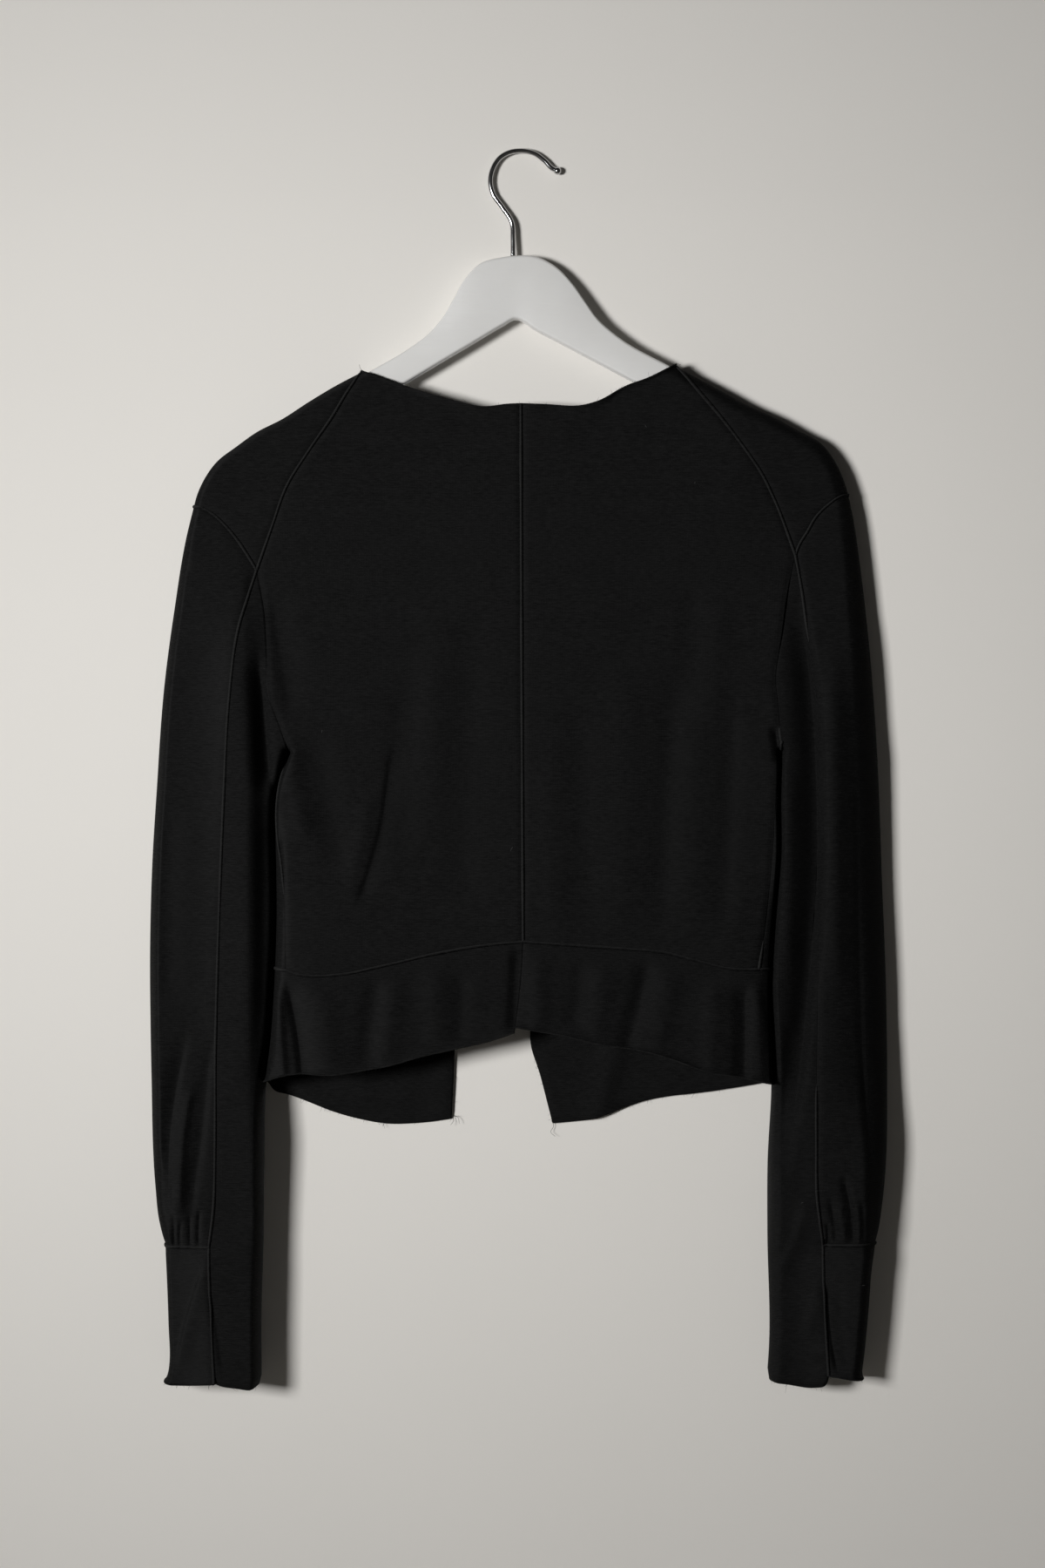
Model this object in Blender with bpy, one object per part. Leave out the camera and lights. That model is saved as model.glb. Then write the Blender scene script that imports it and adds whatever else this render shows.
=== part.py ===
"""A cropped jersey cardigan with raw edges, hung on a painted wooden coat hanger.

The garment hangs with its back towards -Y, the hanger's arms along X and +Z up.
The origin is the inside of the hook's crown, where a peg or rail carries it.

Every panel of cloth is a grid worked out on one shared form.  Seen from behind, the
seams and edges are curves in x and z.  The depth y of a point is how far that layer
of cloth stands off the hanger's plane there, and it falls to nothing along a quarter
ellipse where the cloth turns round a shoulder, a sleeve's edge or the body's side.
"""

import math

import bpy
import numpy as np

# ---- driving dimensions, in metres --------------------------------------------------
WALL = 0.0013            # the jersey's wall
SEAM_EASE = 0.00024      # each edge of cloth stops this far short of its seam line
UNDERARM_PART = 0.0008   # sleeve and body each stand this much further off at the underarm
UNDERARM_FADE = 0.009    # over this distance from the underarm point
NECK_INSET = 0.0016      # the panels start this far down the raglan seam
TURN_SAMPLES = 160       # points read along a row before it is spaced out
TURN_WEIGHT = 0.035      # length that a radian of turning counts for in that spacing
LEAST_STEP = 0.00001     # shorter steps than this have no direction of their own
BEND_FADE = 3            # how fast rows straighten away from a curved top or bottom
UNDERARM_FADE_ROWS = 24  # the same below the underarm seam
UNDERARM_BOW = 1.7       # how strongly those rows leave the fold level
CATCH_UP = 0.21          # the inner sleeve's rows are level this far down its seam
CATCH_POWER = 1.1        # and this is how abruptly they get there

HANGER_HALF = 0.0062     # half the hanger's thickness
HANGER_CORNER = 0.0032   # radius of its four long edges
HANGER_SIDES = 16        # facets round the hanger's arm, four to each edge
HOOK_WIRE = 0.0035       # diameter of the hook's wire
HOOK_SIDES = 10          # facets round the wire
HOOK_TIP = 0.0027        # radius of the ball at the hook's end
HOOK_SEAT_GAP = 0.0003   # between the wire's foot and the hanger's neck

# Rows and columns of each panel's grid
RAGLAN_ROWS = 7
UNDERARM_ROWS = 6
SIDE_ROWS = 6
BACK_COLUMNS = 11
FRONT_COLUMNS = 11
SLEEVE_COLUMNS = 8       # from the fold to the seam, on each layer
SLEEVE_ROWS = 24
SLEEVE_CROWDING = 1.35   # how much closer the sleeve's rows are at its foot
FINE_ROWS = 4            # the inner sleeve takes every row of these last ones
CUFF_ROWS = 4
BAND_COLUMNS = 8         # of the band's front layer
WRAP_COLUMNS = 2         # of the band's back layer, outside the side seam
BAND_ROWS = 4

BACK, FRONT = -1, 1      # the layer's side of the hanger's plane

# ---- depth of each layer: z, body back, body front, sleeve back, sleeve front, and how
#      far the folds at the sides stand forward of the hanger's plane --------------------
DEPTHS = (
    (-0.150, 0.0102, 0.0102, 0.0102, 0.0102, 0.0000),
    (-0.240, 0.0120, 0.0095, 0.0105, 0.0092, 0.0006),
    (-0.320, 0.0190, 0.0070, 0.0190, 0.0070, 0.0054),
    (-0.420, 0.0250, 0.0090, 0.0260, 0.0090, 0.0034),
    (-0.500, 0.0290, 0.0060, 0.0290, 0.0060, 0.0064),
    (-0.600, 0.0340, 0.0060, 0.0290, 0.0060, 0.0066),
    (-0.680, 0.0370, 0.0090, 0.0280, 0.0088, 0.0034),
    (-0.740, 0.0360, 0.0100, 0.0245, 0.0110, 0.0006),
    (-0.765, 0.0340, 0.0100, 0.0180, 0.0110, 0.0000),
    (-0.860, 0.0340, 0.0100, 0.0160, 0.0110, 0.0000),
)
LEAN = 5                                # the column of that last value
BODY_REACH, SLEEVE_REACH = 0.14, 0.20   # body depth inside, sleeve depth outside

# ---- how softly the cloth turns: z, outer edge, sleeve's inner edge, body's side -----
TURNS = (
    (-0.150, 0.0085, 0.0200, 0.0200),
    (-0.250, 0.0120, 0.0200, 0.0200),
    (-0.320, 0.0180, 0.0200, 0.0200),
    (-0.430, 0.0220, 0.0200, 0.0190),
    (-0.520, 0.0240, 0.0220, 0.0140),
    (-0.600, 0.0250, 0.0220, 0.0125),
    (-0.740, 0.0230, 0.0210, 0.0125),
    (-0.765, 0.0140, 0.0150, 0.0125),
    (-0.860, 0.0130, 0.0140, 0.0125),
)

# ---- seams and edges seen from behind: each row is x, z ------------------------------
CENTRE_BACK = ((0.0002, -0.1753), (0.0006, -0.3000), (0.0012, -0.4300), (0.0018, -0.5475))

LEFT = {
    "sign": -1,
    "shoulder": ((-0.1097, -0.1525), (-0.1291, -0.1627), (-0.1477, -0.1739),
                 (-0.1662, -0.1858), (-0.1830, -0.1943), (-0.1978, -0.2048),
                 (-0.2110, -0.2150), (-0.2200, -0.2276), (-0.2252, -0.2395),
                 (-0.2269, -0.2460)),
    "outer": ((-0.2269, -0.2460), (-0.2321, -0.2666), (-0.2405, -0.3148),
              (-0.2479, -0.3704), (-0.2529, -0.4372), (-0.2569, -0.4993),
              (-0.2582, -0.5478), (-0.2569, -0.6424), (-0.2536, -0.7187),
              (-0.2510, -0.7411), (-0.2476, -0.7540), (-0.2462, -0.7580)),
    "cuff_outer": ((-0.2464, -0.7584), (-0.2456, -0.7751), (-0.2442, -0.8125),
                   (-0.2438, -0.8430), (-0.2456, -0.8533)),
    "armhole": ((-0.2269, -0.2460), (-0.2219, -0.2472), (-0.2145, -0.2510),
                (-0.2052, -0.2592), (-0.1959, -0.2703), (-0.1885, -0.2814),
                (-0.1828, -0.2907)),
    "raglan": ((-0.1097, -0.1525), (-0.1180, -0.1636), (-0.1310, -0.1849),
               (-0.1477, -0.2091), (-0.1625, -0.2332), (-0.1718, -0.2592),
               (-0.1828, -0.2907)),
    "underarm": ((-0.1828, -0.2907), (-0.1783, -0.3148), (-0.1757, -0.3500),
                 (-0.1737, -0.3797), (-0.1681, -0.3945), (-0.1603, -0.4168)),
    "sleeve_seam": ((-0.1828, -0.2907), (-0.1894, -0.3111), (-0.1941, -0.3278),
                    (-0.2006, -0.3797), (-0.2037, -0.4372), (-0.2082, -0.5469),
                    (-0.2102, -0.6272), (-0.2104, -0.6933), (-0.2116, -0.7308),
                    (-0.2148, -0.7580)),
    "cuff_seam": ((-0.2148, -0.7584), (-0.2144, -0.7784), (-0.2131, -0.8125),
                  (-0.2110, -0.8522)),
    "inner": ((-0.1603, -0.4168), (-0.1706, -0.4406), (-0.1738, -0.4690),
              (-0.1759, -0.5296), (-0.1784, -0.6387), (-0.1796, -0.7530),
              (-0.1813, -0.8125), (-0.1818, -0.8560)),
    "body_side": ((-0.1603, -0.4168), (-0.1688, -0.4406), (-0.1694, -0.4600),
                  (-0.1682, -0.5100), (-0.1684, -0.5660), (-0.1706, -0.5902),
                  (-0.1735, -0.6205), (-0.1757, -0.6455)),
    "side_seam": ((-0.1603, -0.4168), (-0.1660, -0.4420), (-0.1645, -0.5066),
                  (-0.1619, -0.5670)),
    "neckline": ((-0.1097, -0.1525), (-0.0921, -0.1588), (-0.0550, -0.1709),
                 (-0.0253, -0.1776), (-0.0086, -0.1757), (0.0002, -0.1753)),
    "band_top": ((-0.1619, -0.5670), (-0.1529, -0.5699), (-0.1248, -0.5700),
                 (-0.0945, -0.5640), (-0.0545, -0.5549), (-0.0242, -0.5499),
                 (0.0018, -0.5475)),
    "band_turn": (-0.1684, -0.5660),
    "back_hem": ((-0.1757, -0.6455), (-0.1690, -0.6412), (-0.1248, -0.6384),
                 (-0.0945, -0.6333), (-0.0645, -0.6253), (-0.0202, -0.6152),
                 (-0.0042, -0.6102)),
    "centre_band": ((0.0018, -0.5475), (-0.0005, -0.5800), (-0.0042, -0.6102)),
    "front_hem": ((-0.1757, -0.6455), (-0.1715, -0.6530), (-0.1630, -0.6554),
                  (-0.1248, -0.6695), (-0.0945, -0.6758), (-0.0645, -0.6745),
                  (-0.0485, -0.6725)),
    "front_edge": ((-0.1060, -0.1560), (-0.0957, -0.2085), (-0.0745, -0.2812),
                   (-0.0564, -0.3660), (-0.0473, -0.4690), (-0.0455, -0.5600),
                   (-0.0458, -0.6000)),
    "front_band": ((-0.0458, -0.6000), (-0.0464, -0.6212), (-0.0485, -0.6725)),
}

RIGHT = {
    "sign": 1,
    "shoulder": ((0.1066, -0.1480), (0.1159, -0.1533), (0.1391, -0.1657),
                 (0.1560, -0.1750), (0.1745, -0.1833), (0.1931, -0.1935),
                 (0.2080, -0.2018), (0.2182, -0.2147), (0.2250, -0.2300),
                 (0.2274, -0.2380)),
    "outer": ((0.2274, -0.2380), (0.2311, -0.2554), (0.2367, -0.2926),
              (0.2430, -0.3482), (0.2479, -0.4145), (0.2521, -0.5121),
              (0.2545, -0.5745), (0.2551, -0.6500), (0.2539, -0.7017),
              (0.2515, -0.7275), (0.2480, -0.7496), (0.2459, -0.7570)),
    "cuff_outer": ((0.2461, -0.7574), (0.2436, -0.7740), (0.2412, -0.8040),
                   (0.2379, -0.8380), (0.2361, -0.8514)),
    "armhole": ((0.2274, -0.2380), (0.2226, -0.2392), (0.2136, -0.2450),
                (0.2042, -0.2545), (0.1987, -0.2640), (0.1931, -0.2730),
                (0.1903, -0.2800)),
    "raglan": ((0.1066, -0.1480), (0.1190, -0.1616), (0.1375, -0.1830),
               (0.1560, -0.2073), (0.1672, -0.2239), (0.1760, -0.2420),
               (0.1903, -0.2800)),
    "underarm": ((0.1903, -0.2800), (0.1857, -0.3000), (0.1802, -0.3369),
                 (0.1762, -0.3684), (0.1774, -0.3816), (0.1800, -0.4157)),
    "sleeve_seam": ((0.1903, -0.2800), (0.1950, -0.3054), (0.1995, -0.3380),
                    (0.2048, -0.3797), (0.2060, -0.4387), (0.2054, -0.5599),
                    (0.2039, -0.6848), (0.2046, -0.7250), (0.2090, -0.7570)),
    "cuff_seam": ((0.2091, -0.7574), (0.2093, -0.7700), (0.2098, -0.7955),
                  (0.2132, -0.8478)),
    "inner": ((0.1800, -0.4157), (0.1806, -0.4497), (0.1811, -0.4870),
              (0.1788, -0.5224), (0.1775, -0.5539), (0.1768, -0.6100),
              (0.1753, -0.6475), (0.1725, -0.7017), (0.1722, -0.7500),
              (0.1733, -0.8295), (0.1718, -0.8520)),
    "body_side": ((0.1800, -0.4157), (0.1783, -0.4400), (0.1776, -0.4650),
                  (0.1758, -0.5121), (0.1736, -0.5357), (0.1706, -0.5666),
                  (0.1712, -0.6050), (0.1726, -0.6461)),
    "side_seam": ((0.1800, -0.4157), (0.1768, -0.4400), (0.1735, -0.4900),
                  (0.1668, -0.5500), (0.1642, -0.5666)),
    "neckline": ((0.1066, -0.1480), (0.0911, -0.1562), (0.0725, -0.1632),
                 (0.0530, -0.1738), (0.0430, -0.1766), (0.0170, -0.1760),
                 (0.0002, -0.1753)),
    "band_top": ((0.1642, -0.5666), (0.1454, -0.5660), (0.1248, -0.5612),
                 (0.0997, -0.5549), (0.0726, -0.5524), (0.0412, -0.5502),
                 (0.0018, -0.5475)),
    "band_turn": (0.1706, -0.5666),
    "back_hem": ((0.1726, -0.6461), (0.1600, -0.6425), (0.1309, -0.6373),
                 (0.0893, -0.6238), (0.0517, -0.6175), (0.0308, -0.6123),
                 (-0.0038, -0.6062)),
    "centre_band": ((0.0018, -0.5475), (-0.0003, -0.5800), (-0.0038, -0.6062)),
    "front_hem": ((0.1726, -0.6461), (0.1640, -0.6482), (0.1351, -0.6530),
                  (0.0851, -0.6603), (0.0515, -0.6722), (0.0224, -0.6759)),
    "front_edge": ((0.1030, -0.1510), (0.0890, -0.2080), (0.0620, -0.2870),
                   (0.0345, -0.3720), (0.0164, -0.4690), (0.0090, -0.5600),
                   (0.0083, -0.6000)),
    "front_band": ((0.0083, -0.6000), (0.0068, -0.6165), (0.0141, -0.6436),
                   (0.0224, -0.6759)),
}

# ---- folds: layer, head x, head z, foot x, foot z, height (+ ridge, - trough), half width
LEFT_BODY_FOLDS = (
    (BACK, -0.0900, -0.4600, -0.1110, -0.5170, -0.0022, 0.009),
    (BACK, -0.0985, -0.5680, -0.1060, -0.6400, -0.0018, 0.010),
    (BACK, -0.0420, -0.5600, -0.0400, -0.6150, 0.0018, 0.012),
    (BACK, -0.1640, -0.5720, -0.1560, -0.6400, -0.0050, 0.006),
    (BACK, -0.1600, -0.4600, -0.1680, -0.4150, 0.0025, 0.010),
    (FRONT, -0.0950, -0.3000, -0.0850, -0.5900, 0.0010, 0.016),
    (FRONT, -0.1300, -0.4300, -0.1180, -0.6650, -0.0012, 0.012),
    (FRONT, -0.0640, -0.6150, -0.0680, -0.6740, 0.0014, 0.012),
)
RIGHT_BODY_FOLDS = (
    (BACK, 0.1020, -0.4080, 0.0960, -0.5350, -0.0016, 0.012),
    (BACK, 0.1440, -0.4250, 0.1390, -0.5150, -0.0018, 0.010),
    (BACK, 0.0410, -0.4350, 0.0450, -0.5400, -0.0014, 0.012),
    (BACK, 0.0880, -0.5620, 0.0720, -0.6200, -0.0028, 0.009),
    (BACK, 0.1535, -0.5780, 0.1540, -0.6400, -0.0042, 0.007),
    (BACK, 0.1640, -0.5900, 0.1640, -0.6430, 0.0030, 0.006),
    (FRONT, 0.0680, -0.6200, 0.0510, -0.6700, -0.0022, 0.010),
    (FRONT, 0.0800, -0.3200, 0.0560, -0.5900, 0.0010, 0.016),
    (FRONT, 0.1280, -0.4200, 0.1120, -0.6500, -0.0012, 0.012),
)
LEFT_SLEEVE_FOLDS = (
    (BACK, -0.1900, -0.4500, -0.1915, -0.6700, -0.0030, 0.008),
    (BACK, -0.2060, -0.3600, -0.2095, -0.6800, 0.0018, 0.008),
    (BACK, -0.2330, -0.6580, -0.2400, -0.7480, -0.0026, 0.006),
    (BACK, -0.2170, -0.6580, -0.2290, -0.7400, -0.0024, 0.005),
    (FRONT, -0.2200, -0.3300, -0.2180, -0.7000, -0.0012, 0.012),
)
RIGHT_SLEEVE_FOLDS = (
    (BACK, 0.1980, -0.3500, 0.1960, -0.6900, -0.0060, 0.0075),
    (BACK, 0.2120, -0.3300, 0.2130, -0.7000, 0.0022, 0.007),
    (BACK, 0.2320, -0.4300, 0.2390, -0.7450, -0.0032, 0.007),
    (BACK, 0.2250, -0.7150, 0.2270, -0.7500, -0.0020, 0.005),
    (FRONT, 0.2150, -0.3300, 0.2140, -0.7000, -0.0012, 0.012),
)

# ---- gathers into the cuff seam: rows counted round the sleeve -----------------------
GATHER_HEIGHT = 0.0016   # a ridge's height above the mean surface
GATHER_TOP = 0.075       # the gathers fade out this far above the cuff seam
GATHER_PEAK = 0.012      # they are tallest this far above it

# ---- hanger: x, top z, underside z, share of the full thickness ----------------------
HANGER = (
    (-0.2140, -0.2262, -0.2334, 0.40),
    (-0.2118, -0.2226, -0.2372, 0.85),
    (-0.2060, -0.2166, -0.2356, 1.00),
    (-0.1830, -0.1990, -0.2213, 1.00),
    (-0.1477, -0.1760, -0.2003, 1.00),
    (-0.1033, -0.1512, -0.1740, 1.00),
    (-0.0784, -0.1367, -0.1592, 1.00),
    (-0.0642, -0.1260, -0.1508, 1.00),
    (-0.0535, -0.1136, -0.1444, 1.00),
    (-0.0464, -0.1012, -0.1402, 1.00),
    (-0.0394, -0.0887, -0.1361, 1.00),
    (-0.0287, -0.0775, -0.1297, 1.00),
    (-0.0120, -0.0727, -0.1198, 1.00),
    (-0.0045, -0.0717, -0.1158, 1.00),
    (0.0120, -0.0728, -0.1242, 1.00),
    (0.0247, -0.0796, -0.1308, 1.00),
    (0.0353, -0.0905, -0.1364, 1.00),
    (0.0442, -0.1030, -0.1411, 1.00),
    (0.0531, -0.1154, -0.1458, 1.00),
    (0.0673, -0.1279, -0.1533, 1.00),
    (0.1047, -0.1492, -0.1731, 1.00),
    (0.1560, -0.1770, -0.2001, 1.00),
    (0.1931, -0.1960, -0.2197, 1.00),
    (0.2070, -0.2074, -0.2276, 1.00),
    (0.2118, -0.2140, -0.2290, 0.85),
    (0.2140, -0.2186, -0.2252, 0.40),
)

# ---- hook: centre line of the wire, x, z ---------------------------------------------
HOOK = (
    (-0.0048, -0.0717), (-0.0049, -0.0600), (-0.0056, -0.0485), (-0.0127, -0.0372),
    (-0.0188, -0.0283), (-0.0207, -0.0194), (-0.0190, -0.0105), (-0.0137, -0.0027),
    (-0.0073, 0.0009), (0.0000, 0.0018), (0.0100, -0.0004), (0.0168, -0.0052),
    (0.0225, -0.0108), (0.0255, -0.0124),
)
HOOK_RINGS = 34

# ---- finishes: colour, roughness, metallic -------------------------------------------
FINISHES = {
    "jersey": ((0.0110, 0.0110, 0.0118, 1.0), 0.90, 0.0),
    "white_paint": ((0.640, 0.640, 0.615, 1.0), 0.45, 0.0),
    "chrome": ((0.620, 0.620, 0.630, 1.0), 0.18, 1.0),
}


# ---- curves ---------------------------------------------------------------------------
def smooth_curve(rows, per_span=10):
    """Points along a smooth curve through a table's rows, by cubic spans on chord length."""
    p = np.asarray(rows, float)
    chord = np.maximum(np.linalg.norm(np.diff(p, axis=0), axis=1), 1e-9)
    slope = np.diff(p, axis=0) / chord[:, None]
    tangent = np.empty_like(p)
    tangent[0] = slope[0]
    tangent[-1] = slope[-1]
    share = chord[:-1] / (chord[:-1] + chord[1:])
    tangent[1:-1] = slope[:-1] * (1 - share)[:, None] + slope[1:] * share[:, None]
    t = np.linspace(0, 1, per_span, endpoint=False)[:, None]
    spans = []
    for a, b, ta, tb, h in zip(p[:-1], p[1:], tangent[:-1], tangent[1:], chord):
        spans.append(
            (2 * t**3 - 3 * t**2 + 1) * a + (t**3 - 2 * t**2 + t) * h * ta
            + (3 * t**2 - 2 * t**3) * b + (t**3 - t**2) * h * tb
        )
    return np.vstack(spans + [p[-1:]])


def along(curve, share):
    """Points at the given shares of a curve's length."""
    step = np.linalg.norm(np.diff(curve, axis=0), axis=1)
    run = np.concatenate([[0.0], np.cumsum(step)])
    share = np.asarray(share, float) * run[-1]
    return np.stack([np.interp(share, run, curve[:, k]) for k in range(curve.shape[1])], -1)


def trimmed(curve, start):
    """The curve without its first stretch of the given length."""
    run = np.concatenate([[0], np.cumsum(np.linalg.norm(np.diff(curve, axis=0), axis=1))])
    return np.vstack([along(curve, [start / run[-1]]), curve[run > start]])


def distance(x, z, line):
    """Distance from each point to the nearest point of a line in the x, z plane."""
    a, b = line[:-1], line[1:]
    d = b - a
    size = np.maximum((d**2).sum(1), 1e-15)
    px = x[..., None] - a[:, 0]
    pz = z[..., None] - a[:, 1]
    t = np.clip((px * d[:, 0] + pz * d[:, 1]) / size, 0, 1)
    return np.sqrt(((px - t * d[:, 0]) ** 2 + (pz - t * d[:, 1]) ** 2).min(-1))


def smoothstep(t):
    """A soft step from 0 to 1."""
    t = np.clip(t, 0, 1)
    return t * t * (3 - 2 * t)


def column(table, index, z):
    """A table's column read at z, which the table's first column holds."""
    rows = np.asarray(table)[::-1]
    return np.interp(z, rows[:, 0], rows[:, index])


# ---- the shared form --------------------------------------------------------------------
class Form:
    """One side of the garment: its curves, and the depth of the cloth over them."""

    def __init__(self, tables, part, folds):
        self.sign = tables["sign"]
        self.part = part
        self.folds = folds
        names = [n for n in tables if n not in ("sign", "band_turn")]
        self.curve = {n: smooth_curve(tables[n]) for n in names}
        self.turn = tables["band_turn"]
        self.underarm_point = self.curve["inner"][0].copy()
        away = self.sign if part == "sleeve" else -self.sign
        for name in ("underarm", "inner", "body_side", "side_seam"):
            line = self.curve[name]
            off = np.linalg.norm(line - self.underarm_point, axis=1)
            line[:, 0] += away * UNDERARM_PART * np.exp(-((off / UNDERARM_FADE) ** 2))
        self.outline = np.vstack([
            self.curve["shoulder"], self.curve["outer"][1:], self.curve["cuff_outer"]
        ])
        self.slit = self.curve["inner" if part == "sleeve" else "body_side"]

    def depth(self, x, z, layer):
        """Height of the layer off the hanger's plane, before its side is applied."""
        mix = smoothstep((np.abs(x) - BODY_REACH) / (SLEEVE_REACH - BODY_REACH))
        first = 1 if layer == BACK else 2
        body, sleeve = column(DEPTHS, first, z), column(DEPTHS, first + 2, z)
        full = body + (sleeve - body) * mix
        outer = distance(x, z, self.outline) / column(TURNS, 1, z)
        inner = distance(x, z, self.slit) / column(TURNS, 2 if self.part == "sleeve" else 3, z)
        turn = 1.0
        for t in (outer, inner):
            turn = turn * np.sqrt(np.maximum(1 - (1 - np.minimum(t, 1)) ** 2, 0))
        return full * turn + self.fold_height(x, z, layer) * turn

    def fold_height(self, x, z, layer):
        """Sum of the soft ridges and troughs that the fold table places on a layer."""
        total = np.zeros_like(x)
        for side, x0, z0, x1, z1, height, half in self.folds:
            if side != layer:
                continue
            dx, dz = x1 - x0, z1 - z0
            length = math.hypot(dx, dz)
            t = ((x - x0) * dx + (z - z0) * dz) / length**2
            off = ((x - x0) * dz - (z - z0) * dx) / length
            ends = smoothstep((t + 0.15) / 0.45) * smoothstep((1.15 - t) / 0.45)
            total += height * np.exp(-((off / half) ** 2)) * ends
        return total

    def points(self, xz, layer):
        """The x, y, z points of a layer over the given x, z points."""
        x, z = xz[..., 0], xz[..., 1]
        return np.stack([x, layer * self.depth(x, z, layer) + column(DEPTHS, LEAN, z), z], -1)

    def stations(self, name, layer, count):
        """Shares of a curve's length that space points out along it on the cloth."""
        share = np.linspace(0, 1, 2 * TURN_SAMPLES)
        run = travelled(self.points(along(self.curve[name], share), layer)[None])[0]
        return np.interp(np.linspace(0, run[-1], count + 1), run, share)


def travelled(path):
    """Length run along each row of points, with its turning counted as length too."""
    step = np.diff(path, axis=1)
    size = np.linalg.norm(step, axis=2)
    way = step / np.maximum(size, 1e-9)[..., None]
    cosine = np.clip((way[:, 1:] * way[:, :-1]).sum(2), -1, 1)
    both = np.minimum(size[:, 1:], size[:, :-1]) > LEAST_STEP
    bend = np.where(both, np.arccos(cosine), 0.0)
    size[:, 1:] += TURN_WEIGHT * bend / 2
    size[:, :-1] += TURN_WEIGHT * bend / 2
    return np.concatenate([np.zeros((len(path), 1)), np.cumsum(size, axis=1)], axis=1)


def evenly(path, count):
    """Each row of a grid of points, read again at equal runs along it."""
    run = travelled(path)
    out = np.empty((len(path), count + 1, 3))
    for i, (r, p) in enumerate(zip(run, path)):
        want = np.linspace(0, r[-1], count + 1)
        for k in range(3):
            out[i, :, k] = np.interp(want, r, p[:, k])
    return out


def half_turn(form, fold, seam, top, bottom, layer, count, fade_rows, bow):
    """One layer of a wrapped panel, its rows running from the fold line to the seam.

    Each row is the straight line between the two, or with a bow above 1 leaves the
    fold level and rises later.  It is bent near the panel's ends towards the top and
    bottom curves, then lifted to the cloth's depth.  The count is a number of
    columns to space out evenly, or the shares of the row at which they stand.
    """
    even = np.ndim(count) == 0
    f = (np.linspace(0, 1, TURN_SAMPLES) ** 2 if even else np.asarray(count))[None, :, None]
    s = np.linspace(0, 1, len(fold))[:, None, None]
    share = np.concatenate([1 - (1 - f) ** bow, f**bow], axis=2)
    straight = fold[:, None] * (1 - share) + seam[:, None] * share
    bent = straight.copy()
    for curve, row, fade in ((top, 0, (1 - s) ** fade_rows), (bottom, -1, s**BEND_FADE)):
        if curve is not None:
            bent += fade * (along(curve, f[0, :, 0])[None] - straight[row][None])
    points = form.points(bent, layer)
    return evenly(points, count) if even else points


def wrapped(form, fold, seam, top, bottom, count, front_seam=None, front_top=None,
            front_bottom=None, front_count=None, fade_rows=BEND_FADE, bow=1.0):
    """A panel that runs from the back seam round a fold to the front seam."""
    back = half_turn(form, fold, seam, top, bottom, BACK, count, fade_rows, bow)
    front = half_turn(
        form, fold, seam if front_seam is None else front_seam,
        top if front_top is None else front_top,
        bottom if front_bottom is None else front_bottom,
        FRONT, count if front_count is None else front_count, fade_rows, bow,
    )
    return np.concatenate([back[:, ::-1], front[:, 1:]], axis=1)


# ---- panels -----------------------------------------------------------------------------
def body_border(form, layer):
    """Points down a body panel's outer border: raglan, underarm and side seam."""
    raglan = trimmed(form.curve["raglan"], NECK_INSET)
    form.curve["raglan_inset"] = raglan
    upper = along(raglan, form.stations("raglan_inset", BACK, RAGLAN_ROWS))
    middle = along(form.curve["underarm"], form.stations("underarm", layer, UNDERARM_ROWS))
    lower = along(form.curve["side_seam"], np.linspace(0, 1, SIDE_ROWS + 1))
    return upper, middle, lower


def back_panel(form):
    """From the raglan, underarm and side seams to the centre back seam."""
    border = np.vstack([part[k > 0:] for k, part in enumerate(body_border(form, BACK))])
    centre = smooth_curve(CENTRE_BACK)
    step = np.linalg.norm(np.diff(border, axis=0), axis=1)
    share = np.concatenate([[0], np.cumsum(step)]) / step.sum()
    middle = along(centre, share)
    top = trimmed(form.curve["neckline"], NECK_INSET)
    f = np.linspace(0, 1, TURN_SAMPLES)[None, :, None] ** 2
    straight = border[:, None] * (1 - f) + middle[:, None] * f
    bent = straight + (1 - share[:, None, None]) ** 3 * (along(top, f[0, :, 0]) - straight[0])
    bent += share[:, None, None] ** 3 * (
        along(form.curve["band_top"], f[0, :, 0]) - straight[-1]
    )
    bent[:, 0] = border
    bent[:, -1] = middle
    return evenly(form.points(bent, BACK), BACK_COLUMNS)


def front_panel(form):
    """From the seam on the back layer round the side to the open front edge."""
    upper, middle, lower = body_border(form, FRONT)
    border = np.vstack([upper, middle[1:], lower[1:]])
    above = len(upper) + len(middle) - 2
    fold = border.copy()
    side = form.curve["body_side"]
    down = np.argsort(side[:, 1])
    fold[above:, 0] = np.interp(border[above:, 1], side[down, 1], side[down, 0])
    fold[-1] = form.turn
    step = np.linalg.norm(np.diff(border, axis=0), axis=1)
    share = np.concatenate([[0], np.cumsum(step)]) / step.sum()
    edge = along(form.curve["front_edge"], share)
    f = np.linspace(0, 1, TURN_SAMPLES)[None, :, None] ** 2
    wrap = form.points(fold[:, None] * (1 - f[:, ::-1]) + border[:, None] * f[:, ::-1], BACK)
    wrap[:above] = form.points(border[:above, None] + 0 * f, FRONT)
    face = form.points(fold[:, None] * (1 - f) + edge[:, None] * f, FRONT)
    return evenly(np.concatenate([wrap, face[:, 1:]], axis=1), FRONT_COLUMNS)


def shoulder_cap(form):
    """From the raglan seam over the shoulder to the front one, down to the armhole."""
    form.curve["raglan_inset"] = trimmed(form.curve["raglan"], NECK_INSET)
    share = form.stations("raglan_inset", BACK, RAGLAN_ROWS)
    seam = along(form.curve["raglan_inset"], share)
    fold = along(trimmed(form.curve["shoulder"], NECK_INSET), share)
    return wrapped(form, fold, seam, None, form.curve["armhole"], SLEEVE_COLUMNS)


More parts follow.
